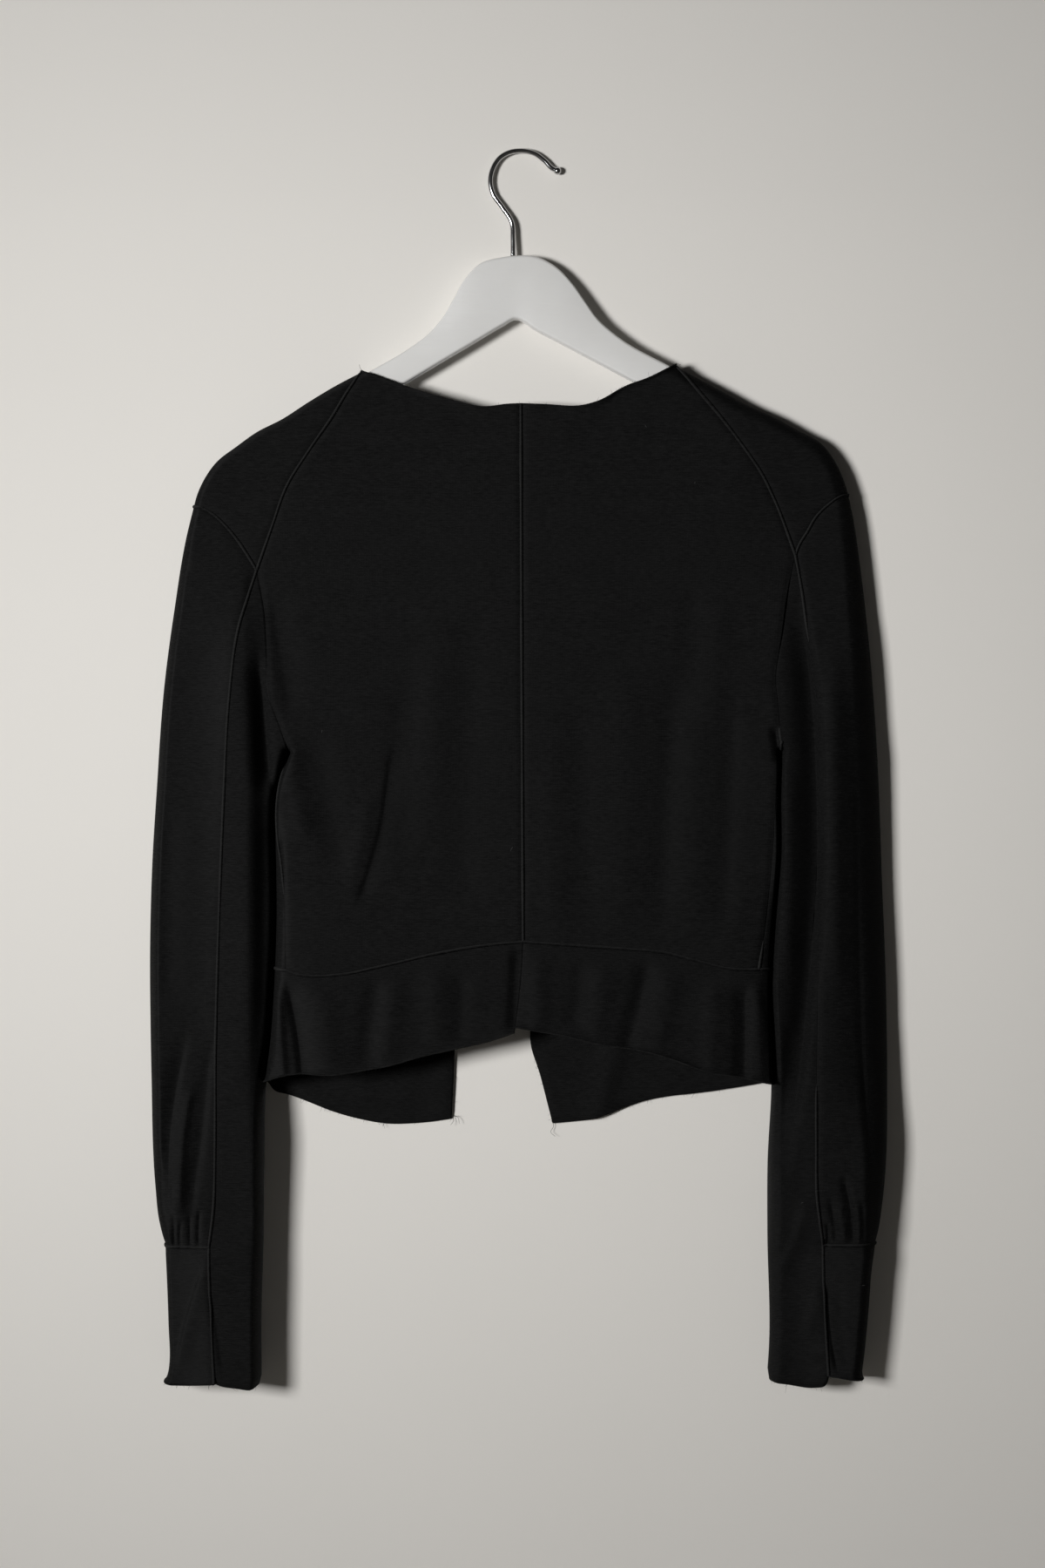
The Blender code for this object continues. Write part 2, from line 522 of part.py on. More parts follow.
def rows_down(curve, rows, head=1.0, foot=1.0):
    """Points down a curve, closer together towards its head or foot as its power grows."""
    t = np.linspace(0, 1, rows + 1)
    return along(curve, (1 - (1 - t) ** foot) ** head)


def sleeve_upper(form):
    """The outer sleeve, from the armhole to the gathers above the cuff."""
    fold = rows_down(form.curve["outer"], SLEEVE_ROWS, foot=SLEEVE_CROWDING)
    seam = rows_down(form.curve["sleeve_seam"], SLEEVE_ROWS, foot=SLEEVE_CROWDING)
    grid = wrapped(form, fold, seam, form.curve["armhole"], None, SLEEVE_COLUMNS)
    return gathered(grid)


def gathered(grid):
    """Raise every other column near the foot of a sleeve, as its gathers do."""
    height = grid[..., 2] - grid[-1:, :, 2]
    rise = smoothstep(height / GATHER_PEAK)
    fall = smoothstep((GATHER_TOP - height) / (GATHER_TOP - GATHER_PEAK))
    across = np.gradient(grid, axis=1)
    down = np.gradient(grid, axis=0)
    normal = np.cross(across, down)
    normal /= np.maximum(np.linalg.norm(normal, axis=2, keepdims=True), 1e-12)
    normal *= np.sign((normal * (grid - grid.mean(axis=1, keepdims=True))).sum(2, keepdims=True))
    wave = np.cos(math.pi * np.arange(grid.shape[1]))[None]
    wave = wave * (np.abs(np.arange(grid.shape[1]) - SLEEVE_COLUMNS) < SLEEVE_COLUMNS)
    return grid + normal * (GATHER_HEIGHT * rise * fall * wave)[..., None]


def sleeve_under(form):
    """The inner sleeve, from the underarm down to the hem, with no cuff seam.

    Its rows end at the upper sleeve's and the cuff's own rows.  The fold's rows start
    at the underarm, below the seam's, and have caught up with them a hand lower.
    """
    upper = rows_down(form.curve["sleeve_seam"], SLEEVE_ROWS, foot=SLEEVE_CROWDING)
    lower = rows_down(form.curve["cuff_seam"], CUFF_ROWS)
    kept = [k for k in range(SLEEVE_ROWS + 1) if k % 2 == 0 or k > SLEEVE_ROWS - FINE_ROWS]
    seam = np.vstack([upper[kept], lower[1:]])
    inner = form.curve["inner"]
    lag = inner[0, 1] - seam[0, 1]
    left = np.clip(1 - (seam[0, 1] - seam[:, 1]) / CATCH_UP, 0, 1)
    z = seam[:, 1] + lag * left**CATCH_POWER
    z[-1] = inner[-1, 1]
    fold = np.stack([np.interp(-z, -inner[:, 1], inner[:, 0]), z], 1)
    top = form.curve["underarm"][::-1]
    return wrapped(form, fold, seam, top, None, UNDERARM_ROWS,
                   fade_rows=UNDERARM_FADE_ROWS, bow=UNDERARM_BOW)


def cuff(form):
    """The outer cuff below the gathers."""
    fold = rows_down(form.curve["cuff_outer"], CUFF_ROWS)
    seam = rows_down(form.curve["cuff_seam"], CUFF_ROWS)
    return wrapped(form, fold, seam, None, None, SLEEVE_COLUMNS)


def hem_band(form):
    """The band from the centre back round the side to the front edge."""
    side = form.curve["body_side"]
    start = int(np.argmin(np.linalg.norm(side - np.asarray(form.turn), axis=1)))
    fold = rows_down(side[start:], BAND_ROWS)
    top = np.vstack([[form.turn], form.curve["band_top"]])
    wrap = math.dist(form.turn, top[1])
    length = np.linalg.norm(np.diff(form.curve["band_top"], axis=0), axis=1).sum()
    share = form.stations("band_top", BACK, BACK_COLUMNS)
    share = (wrap + share * length) / (wrap + length)
    share = np.concatenate([share[0] * np.linspace(0, 1, WRAP_COLUMNS + 1)[:-1] ** 2, share])
    return wrapped(
        form, fold, rows_down(form.curve["centre_band"], BAND_ROWS), top,
        form.curve["back_hem"], share,
        front_seam=rows_down(form.curve["front_band"], BAND_ROWS),
        front_top=np.vstack([[form.turn], form.curve["front_band"][:1]]),
        front_bottom=form.curve["front_hem"], front_count=BAND_COLUMNS,
    )


# ---- solids -----------------------------------------------------------------------------
def eased(grid, ease):
    """Draw a grid's four borders in, each square to itself, to part the panels."""
    out = grid.copy()
    whole = slice(None)
    for edge, inner in ((0, 1), (-1, -2), ((whole, 0), (whole, 1)), ((whole, -1), (whole, -2))):
        way = grid[inner] - grid[edge]
        size = np.maximum(np.linalg.norm(way, axis=-1, keepdims=True), 1e-9)
        run = np.gradient(grid[edge], axis=0)
        run /= np.maximum(np.linalg.norm(run, axis=-1, keepdims=True), 1e-9)
        across = np.linalg.norm(np.cross(way / size, run), axis=-1, keepdims=True)
        out[edge] += way / size * np.minimum(ease / np.maximum(across, 0.2), 0.5 * size)
    return out


def finish(name):
    """The shared material of a finish."""
    if name in bpy.data.materials:
        return bpy.data.materials[name]
    colour, roughness, metallic = FINISHES[name]
    material = bpy.data.materials.new(name)
    material.use_nodes = True
    shader = material.node_tree.nodes["Principled BSDF"]
    shader.inputs["Base Color"].default_value = colour
    shader.inputs["Roughness"].default_value = roughness
    shader.inputs["Metallic"].default_value = metallic
    material.diffuse_color = colour
    return material


def add_object(name, vertices, faces, finish_name, smooth=True):
    """A mesh object in the scene."""
    mesh = bpy.data.meshes.new(name)
    mesh.from_pydata(np.asarray(vertices).tolist(), [], np.asarray(faces).tolist())
    mesh.materials.append(finish(finish_name))
    if smooth:
        mesh.shade_smooth()
    obj = bpy.data.objects.new(name, mesh)
    bpy.context.scene.collection.objects.link(obj)
    return obj


def grid_faces(rows, columns, loop=False):
    """Two triangles for each cell of a grid of points."""
    i, j = np.meshgrid(np.arange(rows - 1), np.arange(columns - (not loop)), indexing="ij")
    a = (i * columns + j).ravel()
    b = (i * columns + (j + 1) % columns).ravel()
    c, d = b + columns, a + columns
    return np.concatenate([np.stack([a, b, c], 1), np.stack([a, c, d], 1)])


def cloth(name, grid):
    """A wall of cloth on a grid of points."""
    grid = eased(grid, SEAM_EASE)
    rows, columns = grid.shape[:2]
    obj = add_object(name, grid.reshape(-1, 3), grid_faces(rows, columns), "jersey")
    wall = obj.modifiers.new("wall", "SOLIDIFY")
    wall.thickness = WALL
    wall.offset = 0.0
    wall.use_quality_normals = True
    return obj


def tube(name, rings, finish_name):
    """A closed solid through rings of points, its two ends filled."""
    count, sides = rings.shape[:2]
    faces = grid_faces(count, sides, loop=True)
    ends = rings[[0, -1]].mean(axis=1)
    j = np.arange(sides)
    first, last = count * sides, count * sides + 1
    start = np.stack([np.full(sides, first), (j + 1) % sides, j], 1)
    base = (count - 1) * sides
    stop = np.stack([np.full(sides, last), base + j, base + (j + 1) % sides], 1)
    vertices = np.vstack([rings.reshape(-1, 3), ends])
    return add_object(name, vertices, np.vstack([faces, start, stop]), finish_name)


def hanger():
    """The wooden hanger: rounded sections along its two arms."""
    turn = 2 * math.pi * (np.arange(HANGER_SIDES) + 0.5) / HANGER_SIDES
    across, up = np.cos(turn), np.sin(turn)
    rings = []
    for x, top, under, share in HANGER:
        half = (top - under) / 2
        corner = min(HANGER_CORNER, half) * share
        y = (HANGER_HALF * share - corner) * np.sign(across) + corner * across
        z = (top + under) / 2 + (half - corner) * np.sign(up) + corner * up
        rings.append(np.stack([np.full_like(y, x), y, z], 1))
    return tube("hanger", np.asarray(rings), "white_paint")


def hook():
    """The wire hook, swept along its centre line to a ball at its tip."""
    line = smooth_curve(HOOK)
    line[:, 1] += HOOK_SEAT_GAP * np.linspace(1, 0, len(line)) ** 8
    centre = along(line, np.linspace(0, 1, HOOK_RINGS))
    radius = np.full(HOOK_RINGS, HOOK_WIRE / 2)
    step = np.linalg.norm(np.diff(line, axis=0), axis=1).sum() / (HOOK_RINGS - 1)
    tip_steps = int(2 * HOOK_TIP / step) + 1
    ball = np.linspace(-0.6, 1.0, 6)
    direction = centre[-1] - centre[-2]
    direction /= np.linalg.norm(direction)
    heads = centre[-1] + direction * (ball[:, None] + 0.6) * HOOK_TIP
    swell = HOOK_TIP * np.sqrt(np.maximum(1 - ball**2, 0.03))
    centre = np.vstack([centre[:-tip_steps], heads])
    radius = np.concatenate([radius[:-tip_steps], swell])
    tangent = np.gradient(centre, axis=0)
    tangent /= np.linalg.norm(tangent, axis=1, keepdims=True)
    turn = np.linspace(0, 2 * math.pi, HOOK_SIDES, endpoint=False)
    side = np.stack([-tangent[:, 1], tangent[:, 0]], 1)
    ring = np.empty((len(centre), HOOK_SIDES, 3))
    for k, angle in enumerate(turn):
        ring[:, k, 0] = centre[:, 0] + side[:, 0] * radius * math.cos(angle)
        ring[:, k, 1] = -radius * math.sin(angle)
        ring[:, k, 2] = centre[:, 1] + side[:, 1] * radius * math.cos(angle)
    return tube("hook", ring, "chrome")


def build():
    """Clear the scene and build every piece."""
    for obj in list(bpy.data.objects):
        bpy.data.objects.remove(obj)
    for side, tables, body_folds, sleeve_folds in (
        ("left", LEFT, LEFT_BODY_FOLDS, LEFT_SLEEVE_FOLDS),
        ("right", RIGHT, RIGHT_BODY_FOLDS, RIGHT_SLEEVE_FOLDS),
    ):
        body = Form(tables, "body", body_folds)
        sleeve = Form(tables, "sleeve", sleeve_folds)
        cloth(f"back_panel_{side}", back_panel(body))
        cloth(f"front_panel_{side}", front_panel(body))
        cloth(f"hem_band_{side}", hem_band(body))
        cloth(f"shoulder_cap_{side}", shoulder_cap(sleeve))
        cloth(f"sleeve_upper_{side}", sleeve_upper(sleeve))
        cloth(f"sleeve_under_{side}", sleeve_under(sleeve))
        cloth(f"cuff_{side}", cuff(sleeve))
    hanger()
    hook()


build()
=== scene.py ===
import math

import bpy
import numpy as np
from bpy.props import FloatProperty, FloatVectorProperty, IntProperty, PointerProperty
from bpy.types import Operator, Panel, PropertyGroup
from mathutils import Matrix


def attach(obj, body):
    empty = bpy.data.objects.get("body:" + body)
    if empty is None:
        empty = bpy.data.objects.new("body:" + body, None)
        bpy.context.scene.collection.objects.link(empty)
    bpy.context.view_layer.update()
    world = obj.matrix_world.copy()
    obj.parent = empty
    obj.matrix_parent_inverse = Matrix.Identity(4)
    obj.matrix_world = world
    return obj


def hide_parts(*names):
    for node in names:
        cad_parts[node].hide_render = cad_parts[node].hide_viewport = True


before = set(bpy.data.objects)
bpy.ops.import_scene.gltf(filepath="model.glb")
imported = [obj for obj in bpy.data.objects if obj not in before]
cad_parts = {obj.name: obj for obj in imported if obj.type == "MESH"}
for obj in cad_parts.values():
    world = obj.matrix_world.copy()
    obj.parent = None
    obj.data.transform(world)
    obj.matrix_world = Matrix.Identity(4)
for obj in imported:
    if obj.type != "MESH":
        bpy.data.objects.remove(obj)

# A cropped jersey cardigan with raw edges, seen from behind on a painted wooden hanger.
#
# Every panel of cloth is a grid of points worked out on one shared form.  Seen from
# behind, the seams and edges are curves in x and z.  The depth y of a point is how far
# that layer of cloth stands off the hanger's plane there.  It falls to nothing along a
# quarter ellipse where the cloth turns round a shoulder, a sleeve's edge or the body's
# side, and the folds, seam grooves and slow waves of the cloth are added to it.

bl_info = {
    "name": "Cropped Cardigan on a Hanger",
    "version": (1, 0, 0),
    "blender": (4, 5, 0),
    "location": "3D View > Sidebar > Cardigan",
    "description": "Builds a raw-edged jersey cardigan, its hanger and a plain studio wall",
    "category": "Object",
}

BACK, FRONT = -1, 1      # the layer's side of the hanger's plane
TO_CAMERA = (0.0, -1.0, 0.0)
MM = 0.001

# ---- how the grids are spaced --------------------------------------------------------
TURN_SAMPLES = 420       # points read along a row before it is spaced out
TURN_WEIGHT = 0.012      # length that a radian of turning counts for in that spacing
LEAST_STEP = 0.00001     # shorter steps than this have no direction of their own
TINY = 1e-12             # stands for a length of nothing where one is divided by
BEND_FADE = 3            # how fast rows straighten away from a curved top or bottom
UNDERARM_FADE_ROWS = 24  # the same below the underarm seam
EASE_ROWS = 28           # rows over which the middle of a body panel evens out its spacing
UNDERARM_BOW = 1.7       # how strongly those rows leave the fold level
CATCH_UP = 0.21          # the inner sleeve's rows are level this far down its seam
CATCH_POWER = 1.1        # and this is how abruptly they get there
UNDERARM_PART = 0.0008   # sleeve and body each stand this much further off at the underarm
UNDERARM_FADE = 0.009    # over this distance from the underarm point
ROW_MEAN = 4             # rows on each side over which the columns' places are averaged
TURN_REACH = 0.030       # nothing turns further in from an edge than this
LEAST_DEPTH = 0.002      # no fold sinks a layer further than this from the middle surface
FOLD_ENDS = 0.22         # share of a fold's length over which each end fades
GATHER_WIDTH = 1.6       # the gathers' groove is this many times as wide as a seam's
WAVE_SEED = 11
WAVE_COUNT, WAVE_SHARE = 16, 0.25        # slow sine waves, and the weight of each
WAVE_ACROSS, WAVE_DOWN = 0.030, 0.120    # their mean spacing across and down

# rows and columns of each panel's grid; a wrapped panel's columns count each layer
RAGLAN_ROWS, UNDERARM_ROWS, SIDE_ROWS = 62, 58, 70
BACK_COLUMNS = 118
FRONT_COLUMNS = 92
CAP_ROWS, CAP_COLUMNS = 60, 46
SLEEVE_ROWS, SLEEVE_COLUMNS = 236, 44
UNDER_ROWS, UNDER_COLUMNS = 196, 30
CUFF_ROWS, CUFF_COLUMNS = 46, 40
BAND_ROWS, BAND_COLUMNS = 44, 118
SLEEVE_FOOT, BAND_FOOT = 1.25, 1.3   # how much closer the rows lie towards the foot

# ---- depth of each layer: z, body back, body front, sleeve back, sleeve front, and how
#      far the folds at the sides stand forward of the hanger's plane --------------------
DEPTHS = (
    (-0.150, 0.0102, 0.0102, 0.0102, 0.0102, 0.0000),
    (-0.240, 0.0120, 0.0095, 0.0105, 0.0092, 0.0006),
    (-0.320, 0.0190, 0.0052, 0.0190, 0.0062, 0.0054),
    (-0.420, 0.0250, 0.0080, 0.0260, 0.0070, 0.0034),
    (-0.500, 0.0290, 0.0050, 0.0280, 0.0040, 0.0064),
    (-0.600, 0.0340, 0.0055, 0.0280, 0.0042, 0.0066),
    (-0.680, 0.0370, 0.0090, 0.0280, 0.0088, 0.0034),
    (-0.740, 0.0360, 0.0100, 0.0245, 0.0110, 0.0006),
    (-0.765, 0.0340, 0.0100, 0.0180, 0.0110, 0.0000),
    (-0.860, 0.0340, 0.0100, 0.0160, 0.0110, 0.0000),
)
BODY_BACK, BODY_FRONT, SLEEVE_BACK, SLEEVE_FRONT, LEAN = 1, 2, 3, 4, 5   # its columns
LIT_EDGE = 0.5           # the left outer edge turns in this share of that reach
BODY_REACH, SLEEVE_REACH = 0.14, 0.20   # body depth inside, sleeve depth outside

# ---- how softly the cloth turns: z, outer edge, the left and the right sleeve's inner
#      edge, the body's side, and how far the outer edge leans towards the wall ----------
TURNS = (
    (-0.150, 0.0085, 0.0200, 0.0090, 0.0090, 0.0000),
    (-0.250, 0.0110, 0.0160, 0.0070, 0.0070, 0.0000),
    (-0.320, 0.0150, 0.0120, 0.0060, 0.0055, 0.0020),
    (-0.430, 0.0170, 0.0060, 0.0036, 0.0034, 0.0050),
    (-0.520, 0.0180, 0.0055, 0.0036, 0.0034, 0.0065),
    (-0.600, 0.0180, 0.0055, 0.0040, 0.0038, 0.0060),
    (-0.740, 0.0160, 0.0060, 0.0080, 0.0060, 0.0020),
    (-0.765, 0.0090, 0.0060, 0.0080, 0.0060, 0.0000),
    (-0.860, 0.0080, 0.0060, 0.0080, 0.0060, 0.0000),
)
OUTER_EDGE, INNER_LEFT, INNER_RIGHT, BODY_SIDE, EDGE_LEAN = 1, 2, 3, 4, 5   # its columns

# ---- seams and edges seen from behind: each row is x, z ------------------------------
CENTRE_BACK = ((0.0002, -0.1753), (0.0006, -0.3000), (0.0012, -0.4300), (0.0018, -0.5475))

LEFT = {
    "sign": -1,
    "shoulder": ((-0.1097, -0.1525), (-0.1291, -0.1627), (-0.1477, -0.1739),
                 (-0.1662, -0.1858), (-0.1830, -0.1943), (-0.1978, -0.2048),
                 (-0.2110, -0.2150), (-0.2200, -0.2276), (-0.2252, -0.2395),
                 (-0.2269, -0.2460)),
    "outer": ((-0.2269, -0.2460), (-0.2321, -0.2666), (-0.2405, -0.3148),
              (-0.2479, -0.3704), (-0.2529, -0.4372), (-0.2569, -0.4993),
              (-0.2582, -0.5478), (-0.2569, -0.6424), (-0.2536, -0.7187),
              (-0.2510, -0.7411), (-0.2476, -0.7540), (-0.2462, -0.7580)),
    "cuff_outer": ((-0.2464, -0.7584), (-0.2456, -0.7751), (-0.2442, -0.8125),
                   (-0.2438, -0.8430), (-0.2456, -0.8533)),
    "armhole": ((-0.2269, -0.2460), (-0.2219, -0.2472), (-0.2145, -0.2510),
                (-0.2052, -0.2592), (-0.1959, -0.2703), (-0.1885, -0.2814),
                (-0.1828, -0.2907)),
    "raglan": ((-0.1097, -0.1525), (-0.1180, -0.1636), (-0.1310, -0.1849),
               (-0.1477, -0.2091), (-0.1625, -0.2332), (-0.1718, -0.2592),
               (-0.1828, -0.2907)),
    "underarm": ((-0.1828, -0.2907), (-0.1783, -0.3148), (-0.1757, -0.3500),
                 (-0.1737, -0.3797), (-0.1681, -0.3945), (-0.1603, -0.4168)),
    "sleeve_seam": ((-0.1828, -0.2907), (-0.1894, -0.3111), (-0.1941, -0.3278),
                    (-0.2006, -0.3797), (-0.2037, -0.4372), (-0.2082, -0.5469),
                    (-0.2102, -0.6272), (-0.2104, -0.6933), (-0.2116, -0.7308),
                    (-0.2148, -0.7580)),
    "cuff_seam": ((-0.2148, -0.7584), (-0.2144, -0.7784), (-0.2131, -0.8125),
                  (-0.2110, -0.8522)),
    "inner": ((-0.1603, -0.4168), (-0.1686, -0.4406), (-0.1706, -0.4690),
              (-0.1702, -0.5000), (-0.1700, -0.5296), (-0.1711, -0.5660),
              (-0.1737, -0.6100), (-0.1779, -0.6455), (-0.1792, -0.7000), (-0.1796, -0.7530),
              (-0.1811, -0.8125), (-0.1808, -0.8548)),
    "body_side": ((-0.1603, -0.4168), (-0.1680, -0.4406), (-0.1700, -0.4690),
                  (-0.1697, -0.5000), (-0.1695, -0.5296), (-0.1706, -0.5660),
                  (-0.1732, -0.6100), (-0.1774, -0.6455)),
    "side_seam": ((-0.1603, -0.4168), (-0.1662, -0.4400), (-0.1680, -0.4570),
                  (-0.1672, -0.4780), (-0.1646, -0.4960), (-0.1628, -0.5200),
                  (-0.1619, -0.5670)),
    "neckline": ((-0.1097, -0.1525), (-0.0921, -0.1588), (-0.0550, -0.1709),
                 (-0.0253, -0.1776), (-0.0086, -0.1757), (0.0002, -0.1753)),
    "band_top": ((-0.1619, -0.5670), (-0.1529, -0.5699), (-0.1248, -0.5700),
                 (-0.0945, -0.5640), (-0.0545, -0.5549), (-0.0242, -0.5499),
                 (0.0018, -0.5475)),
    "band_turn": (-0.1706, -0.5660),
    "back_hem": ((-0.1774, -0.6455), (-0.1690, -0.6412), (-0.1248, -0.6384),
                 (-0.0945, -0.6333), (-0.0645, -0.6253), (-0.0202, -0.6152),
                 (-0.0042, -0.6102)),
    "centre_band": ((0.0018, -0.5475), (-0.0005, -0.5800), (-0.0042, -0.6102)),
    "front_hem": ((-0.1774, -0.6455), (-0.1715, -0.6530), (-0.1630, -0.6554),
                  (-0.1248, -0.6695), (-0.0945, -0.6758), (-0.0645, -0.6745),
                  (-0.0485, -0.6725)),
    "front_edge": ((-0.1060, -0.1560), (-0.0957, -0.2085), (-0.0745, -0.2812),
                   (-0.0564, -0.3660), (-0.0473, -0.4690), (-0.0455, -0.5600),
                   (-0.0458, -0.6000)),
    "front_band": ((-0.0458, -0.6000), (-0.0464, -0.6212), (-0.0485, -0.6725)),
    "under_hem": ((-0.1808, -0.8548), (-0.1860, -0.8558), (-0.1960, -0.8550),
                  (-0.2060, -0.8538), (-0.2110, -0.8522)),
    "cuff_hem": ((-0.2456, -0.8533), (-0.2340, -0.8534), (-0.2110, -0.8522)),
    "cuff_front_hem": ((-0.2456, -0.8533), (-0.2380, -0.8556), (-0.2290, -0.8580),
                       (-0.2200, -0.8562), (-0.2110, -0.8522)),
}

RIGHT = {
    "sign": 1,
    "shoulder": ((0.1066, -0.1480), (0.1159, -0.1533), (0.1391, -0.1657),
                 (0.1560, -0.1750), (0.1745, -0.1833), (0.1931, -0.1935),
                 (0.2080, -0.2018), (0.2182, -0.2147), (0.2250, -0.2300),
                 (0.2274, -0.2380)),
    "outer": ((0.2274, -0.2380), (0.2311, -0.2554), (0.2367, -0.2926),
              (0.2430, -0.3482), (0.2479, -0.4145), (0.2521, -0.5121),
              (0.2545, -0.5745), (0.2551, -0.6500), (0.2539, -0.7017),
              (0.2515, -0.7275), (0.2480, -0.7496), (0.2459, -0.7570)),
    "cuff_outer": ((0.2461, -0.7574), (0.2436, -0.7740), (0.2412, -0.8040),
                   (0.2379, -0.8380), (0.2361, -0.8514)),
    "armhole": ((0.2274, -0.2380), (0.2226, -0.2392), (0.2136, -0.2450),
                (0.2042, -0.2545), (0.1987, -0.2640), (0.1931, -0.2730),
                (0.1903, -0.2800)),
    "raglan": ((0.1066, -0.1480), (0.1190, -0.1616), (0.1375, -0.1830),
               (0.1560, -0.2073), (0.1672, -0.2239), (0.1760, -0.2420),
               (0.1903, -0.2800)),
    "underarm": ((0.1903, -0.2800), (0.1857, -0.3000), (0.1802, -0.3369),
                 (0.1762, -0.3684), (0.1774, -0.3816), (0.1800, -0.4157)),
    "sleeve_seam": ((0.1903, -0.2800), (0.1950, -0.3054), (0.1995, -0.3380),
                    (0.2048, -0.3797), (0.2060, -0.4387), (0.2054, -0.5599),
                    (0.2039, -0.6848), (0.2046, -0.7250), (0.2090, -0.7570)),
    "cuff_seam": ((0.2091, -0.7574), (0.2093, -0.7700), (0.2098, -0.7955),
                  (0.2132, -0.8478)),
    "inner": ((0.1800, -0.4157), (0.1794, -0.4497), (0.1795, -0.4870),
              (0.1776, -0.5124), (0.1750, -0.5450), (0.1736, -0.5750),
              (0.1748, -0.6100), (0.1753, -0.6475), (0.1725, -0.7017), (0.1722, -0.7500),
              (0.1733, -0.8295), (0.1718, -0.8520)),
    "body_side": ((0.1800, -0.4157), (0.1788, -0.4497), (0.1790, -0.4870),
                  (0.1771, -0.5124), (0.1745, -0.5450), (0.1734, -0.5666),
                  (0.1731, -0.5750), (0.1742, -0.6100), (0.1747, -0.6461)),
    "side_seam": ((0.1800, -0.4157), (0.1768, -0.4400), (0.1735, -0.4900),
                  (0.1668, -0.5500), (0.1642, -0.5666)),
    "neckline": ((0.1066, -0.1480), (0.0911, -0.1562), (0.0725, -0.1632),
                 (0.0530, -0.1738), (0.0430, -0.1766), (0.0170, -0.1760),
                 (0.0002, -0.1753)),
    "band_top": ((0.1642, -0.5666), (0.1454, -0.5660), (0.1248, -0.5612),
                 (0.0997, -0.5549), (0.0726, -0.5524), (0.0412, -0.5502),
                 (0.0018, -0.5475)),
    "band_turn": (0.1734, -0.5666),
    "back_hem": ((0.1746, -0.6461), (0.1600, -0.6425), (0.1309, -0.6373),
                 (0.0893, -0.6238), (0.0517, -0.6175), (0.0308, -0.6123),
                 (-0.0038, -0.6062)),
    "centre_band": ((0.0018, -0.5475), (-0.0003, -0.5800), (-0.0038, -0.6062)),
    "front_hem": ((0.1746, -0.6461), (0.1640, -0.6482), (0.1351, -0.6530),
                  (0.0851, -0.6603), (0.0515, -0.6722), (0.0224, -0.6759)),
    "front_edge": ((0.1030, -0.1510), (0.0890, -0.2080), (0.0620, -0.2870),
                   (0.0345, -0.3720), (0.0164, -0.4690), (0.0090, -0.5600),
                   (0.0083, -0.6000)),
    "front_band": ((0.0083, -0.6000), (0.0068, -0.6165), (0.0141, -0.6436),
                   (0.0224, -0.6759)),
    "under_hem": ((0.1718, -0.8520), (0.1842, -0.8539), (0.2030, -0.8563),
                  (0.2097, -0.8551), (0.2132, -0.8478)),
    "cuff_hem": ((0.2361, -0.8514), (0.2300, -0.8502), (0.2236, -0.8494), (0.2132, -0.8478)),
    "cuff_front_hem": ((0.2361, -0.8514), (0.2290, -0.8530), (0.2200, -0.8525),
                       (0.2132, -0.8478)),
}

# ---- folds, in mm: layer, height (+ ridge, - trough), half width on its -X and +X sides,
#      then the points down its line ----------------------------------------------------
LEFT_BODY_FOLDS = (
    (BACK, -1.0, 2.2, 7, (-87, -404), (-92, -440), (-96, -468), (-103, -494), (-111, -518),
     (-115, -530)),
    (BACK, 0.7, 7, 6, (-103, -440), (-111, -485), (-121, -525)),
    (BACK, -1.4, 8, 7, (-98, -566), (-103, -600), (-107, -640)),
    (BACK, 0.9, 8, 8, (-86, -570), (-90, -606), (-93, -640)),
    (BACK, -0.9, 6, 6, (-40, -566), (-41, -590), (-42, -622)),
    (BACK, 1.0, 9, 9, (-60, -560), (-59, -590), (-58, -624)),
    (BACK, -2.8, 3, 8, (-162, -570), (-158, -588), (-154, -608), (-149, -652)),
    (BACK, 2.2, 6, 3.5, (-168, -574), (-166, -606), (-162, -655)),
    (BACK, 1.1, 9, 9, (-138, -575), (-134, -610), (-130, -650)),
    (BACK, 1.4, 8, 9, (-164, -404), (-157, -440), (-147, -485)),
    (BACK, -0.9, 10, 10, (-144, -395), (-133, -450), (-124, -505)),
    (BACK, -1.6, 5, 5, (-160, -418), (-168, -432), (-173, -446)),
    (BACK, -1.4, 6, 12, (-172, -305), (-165, -350), (-157, -395)),
    (BACK, -5.0, 6, 4, (-169, -450), (-168, -500), (-169, -560), (-173, -600), (-178, -660)),
    (BACK, -1.8, 4, 6, (-2, -545), (-4, -580), (-6, -615)),
    (BACK, 0.7, 14, 16, (-56, -300), (-60, -380), (-64, -470)),
    (BACK, -0.8, 11, 11, (-76, -350), (-80, -420), (-84, -500)),
    (BACK, -0.7, 14, 12, (-34, -330), (-37, -420), (-40, -540)),
    (FRONT, 0.5, 15, 17, (-95, -290), (-92, -430), (-85, -600)),
    (FRONT, -1.6, 11, 13, (-130, -420), (-125, -540), (-117, -675)),
    (FRONT, 1.3, 12, 10, (-64, -600), (-66, -640), (-69, -684)),
    (FRONT, 1.0, 10, 12, (-148, -440), (-150, -540), (-146, -660)),
)
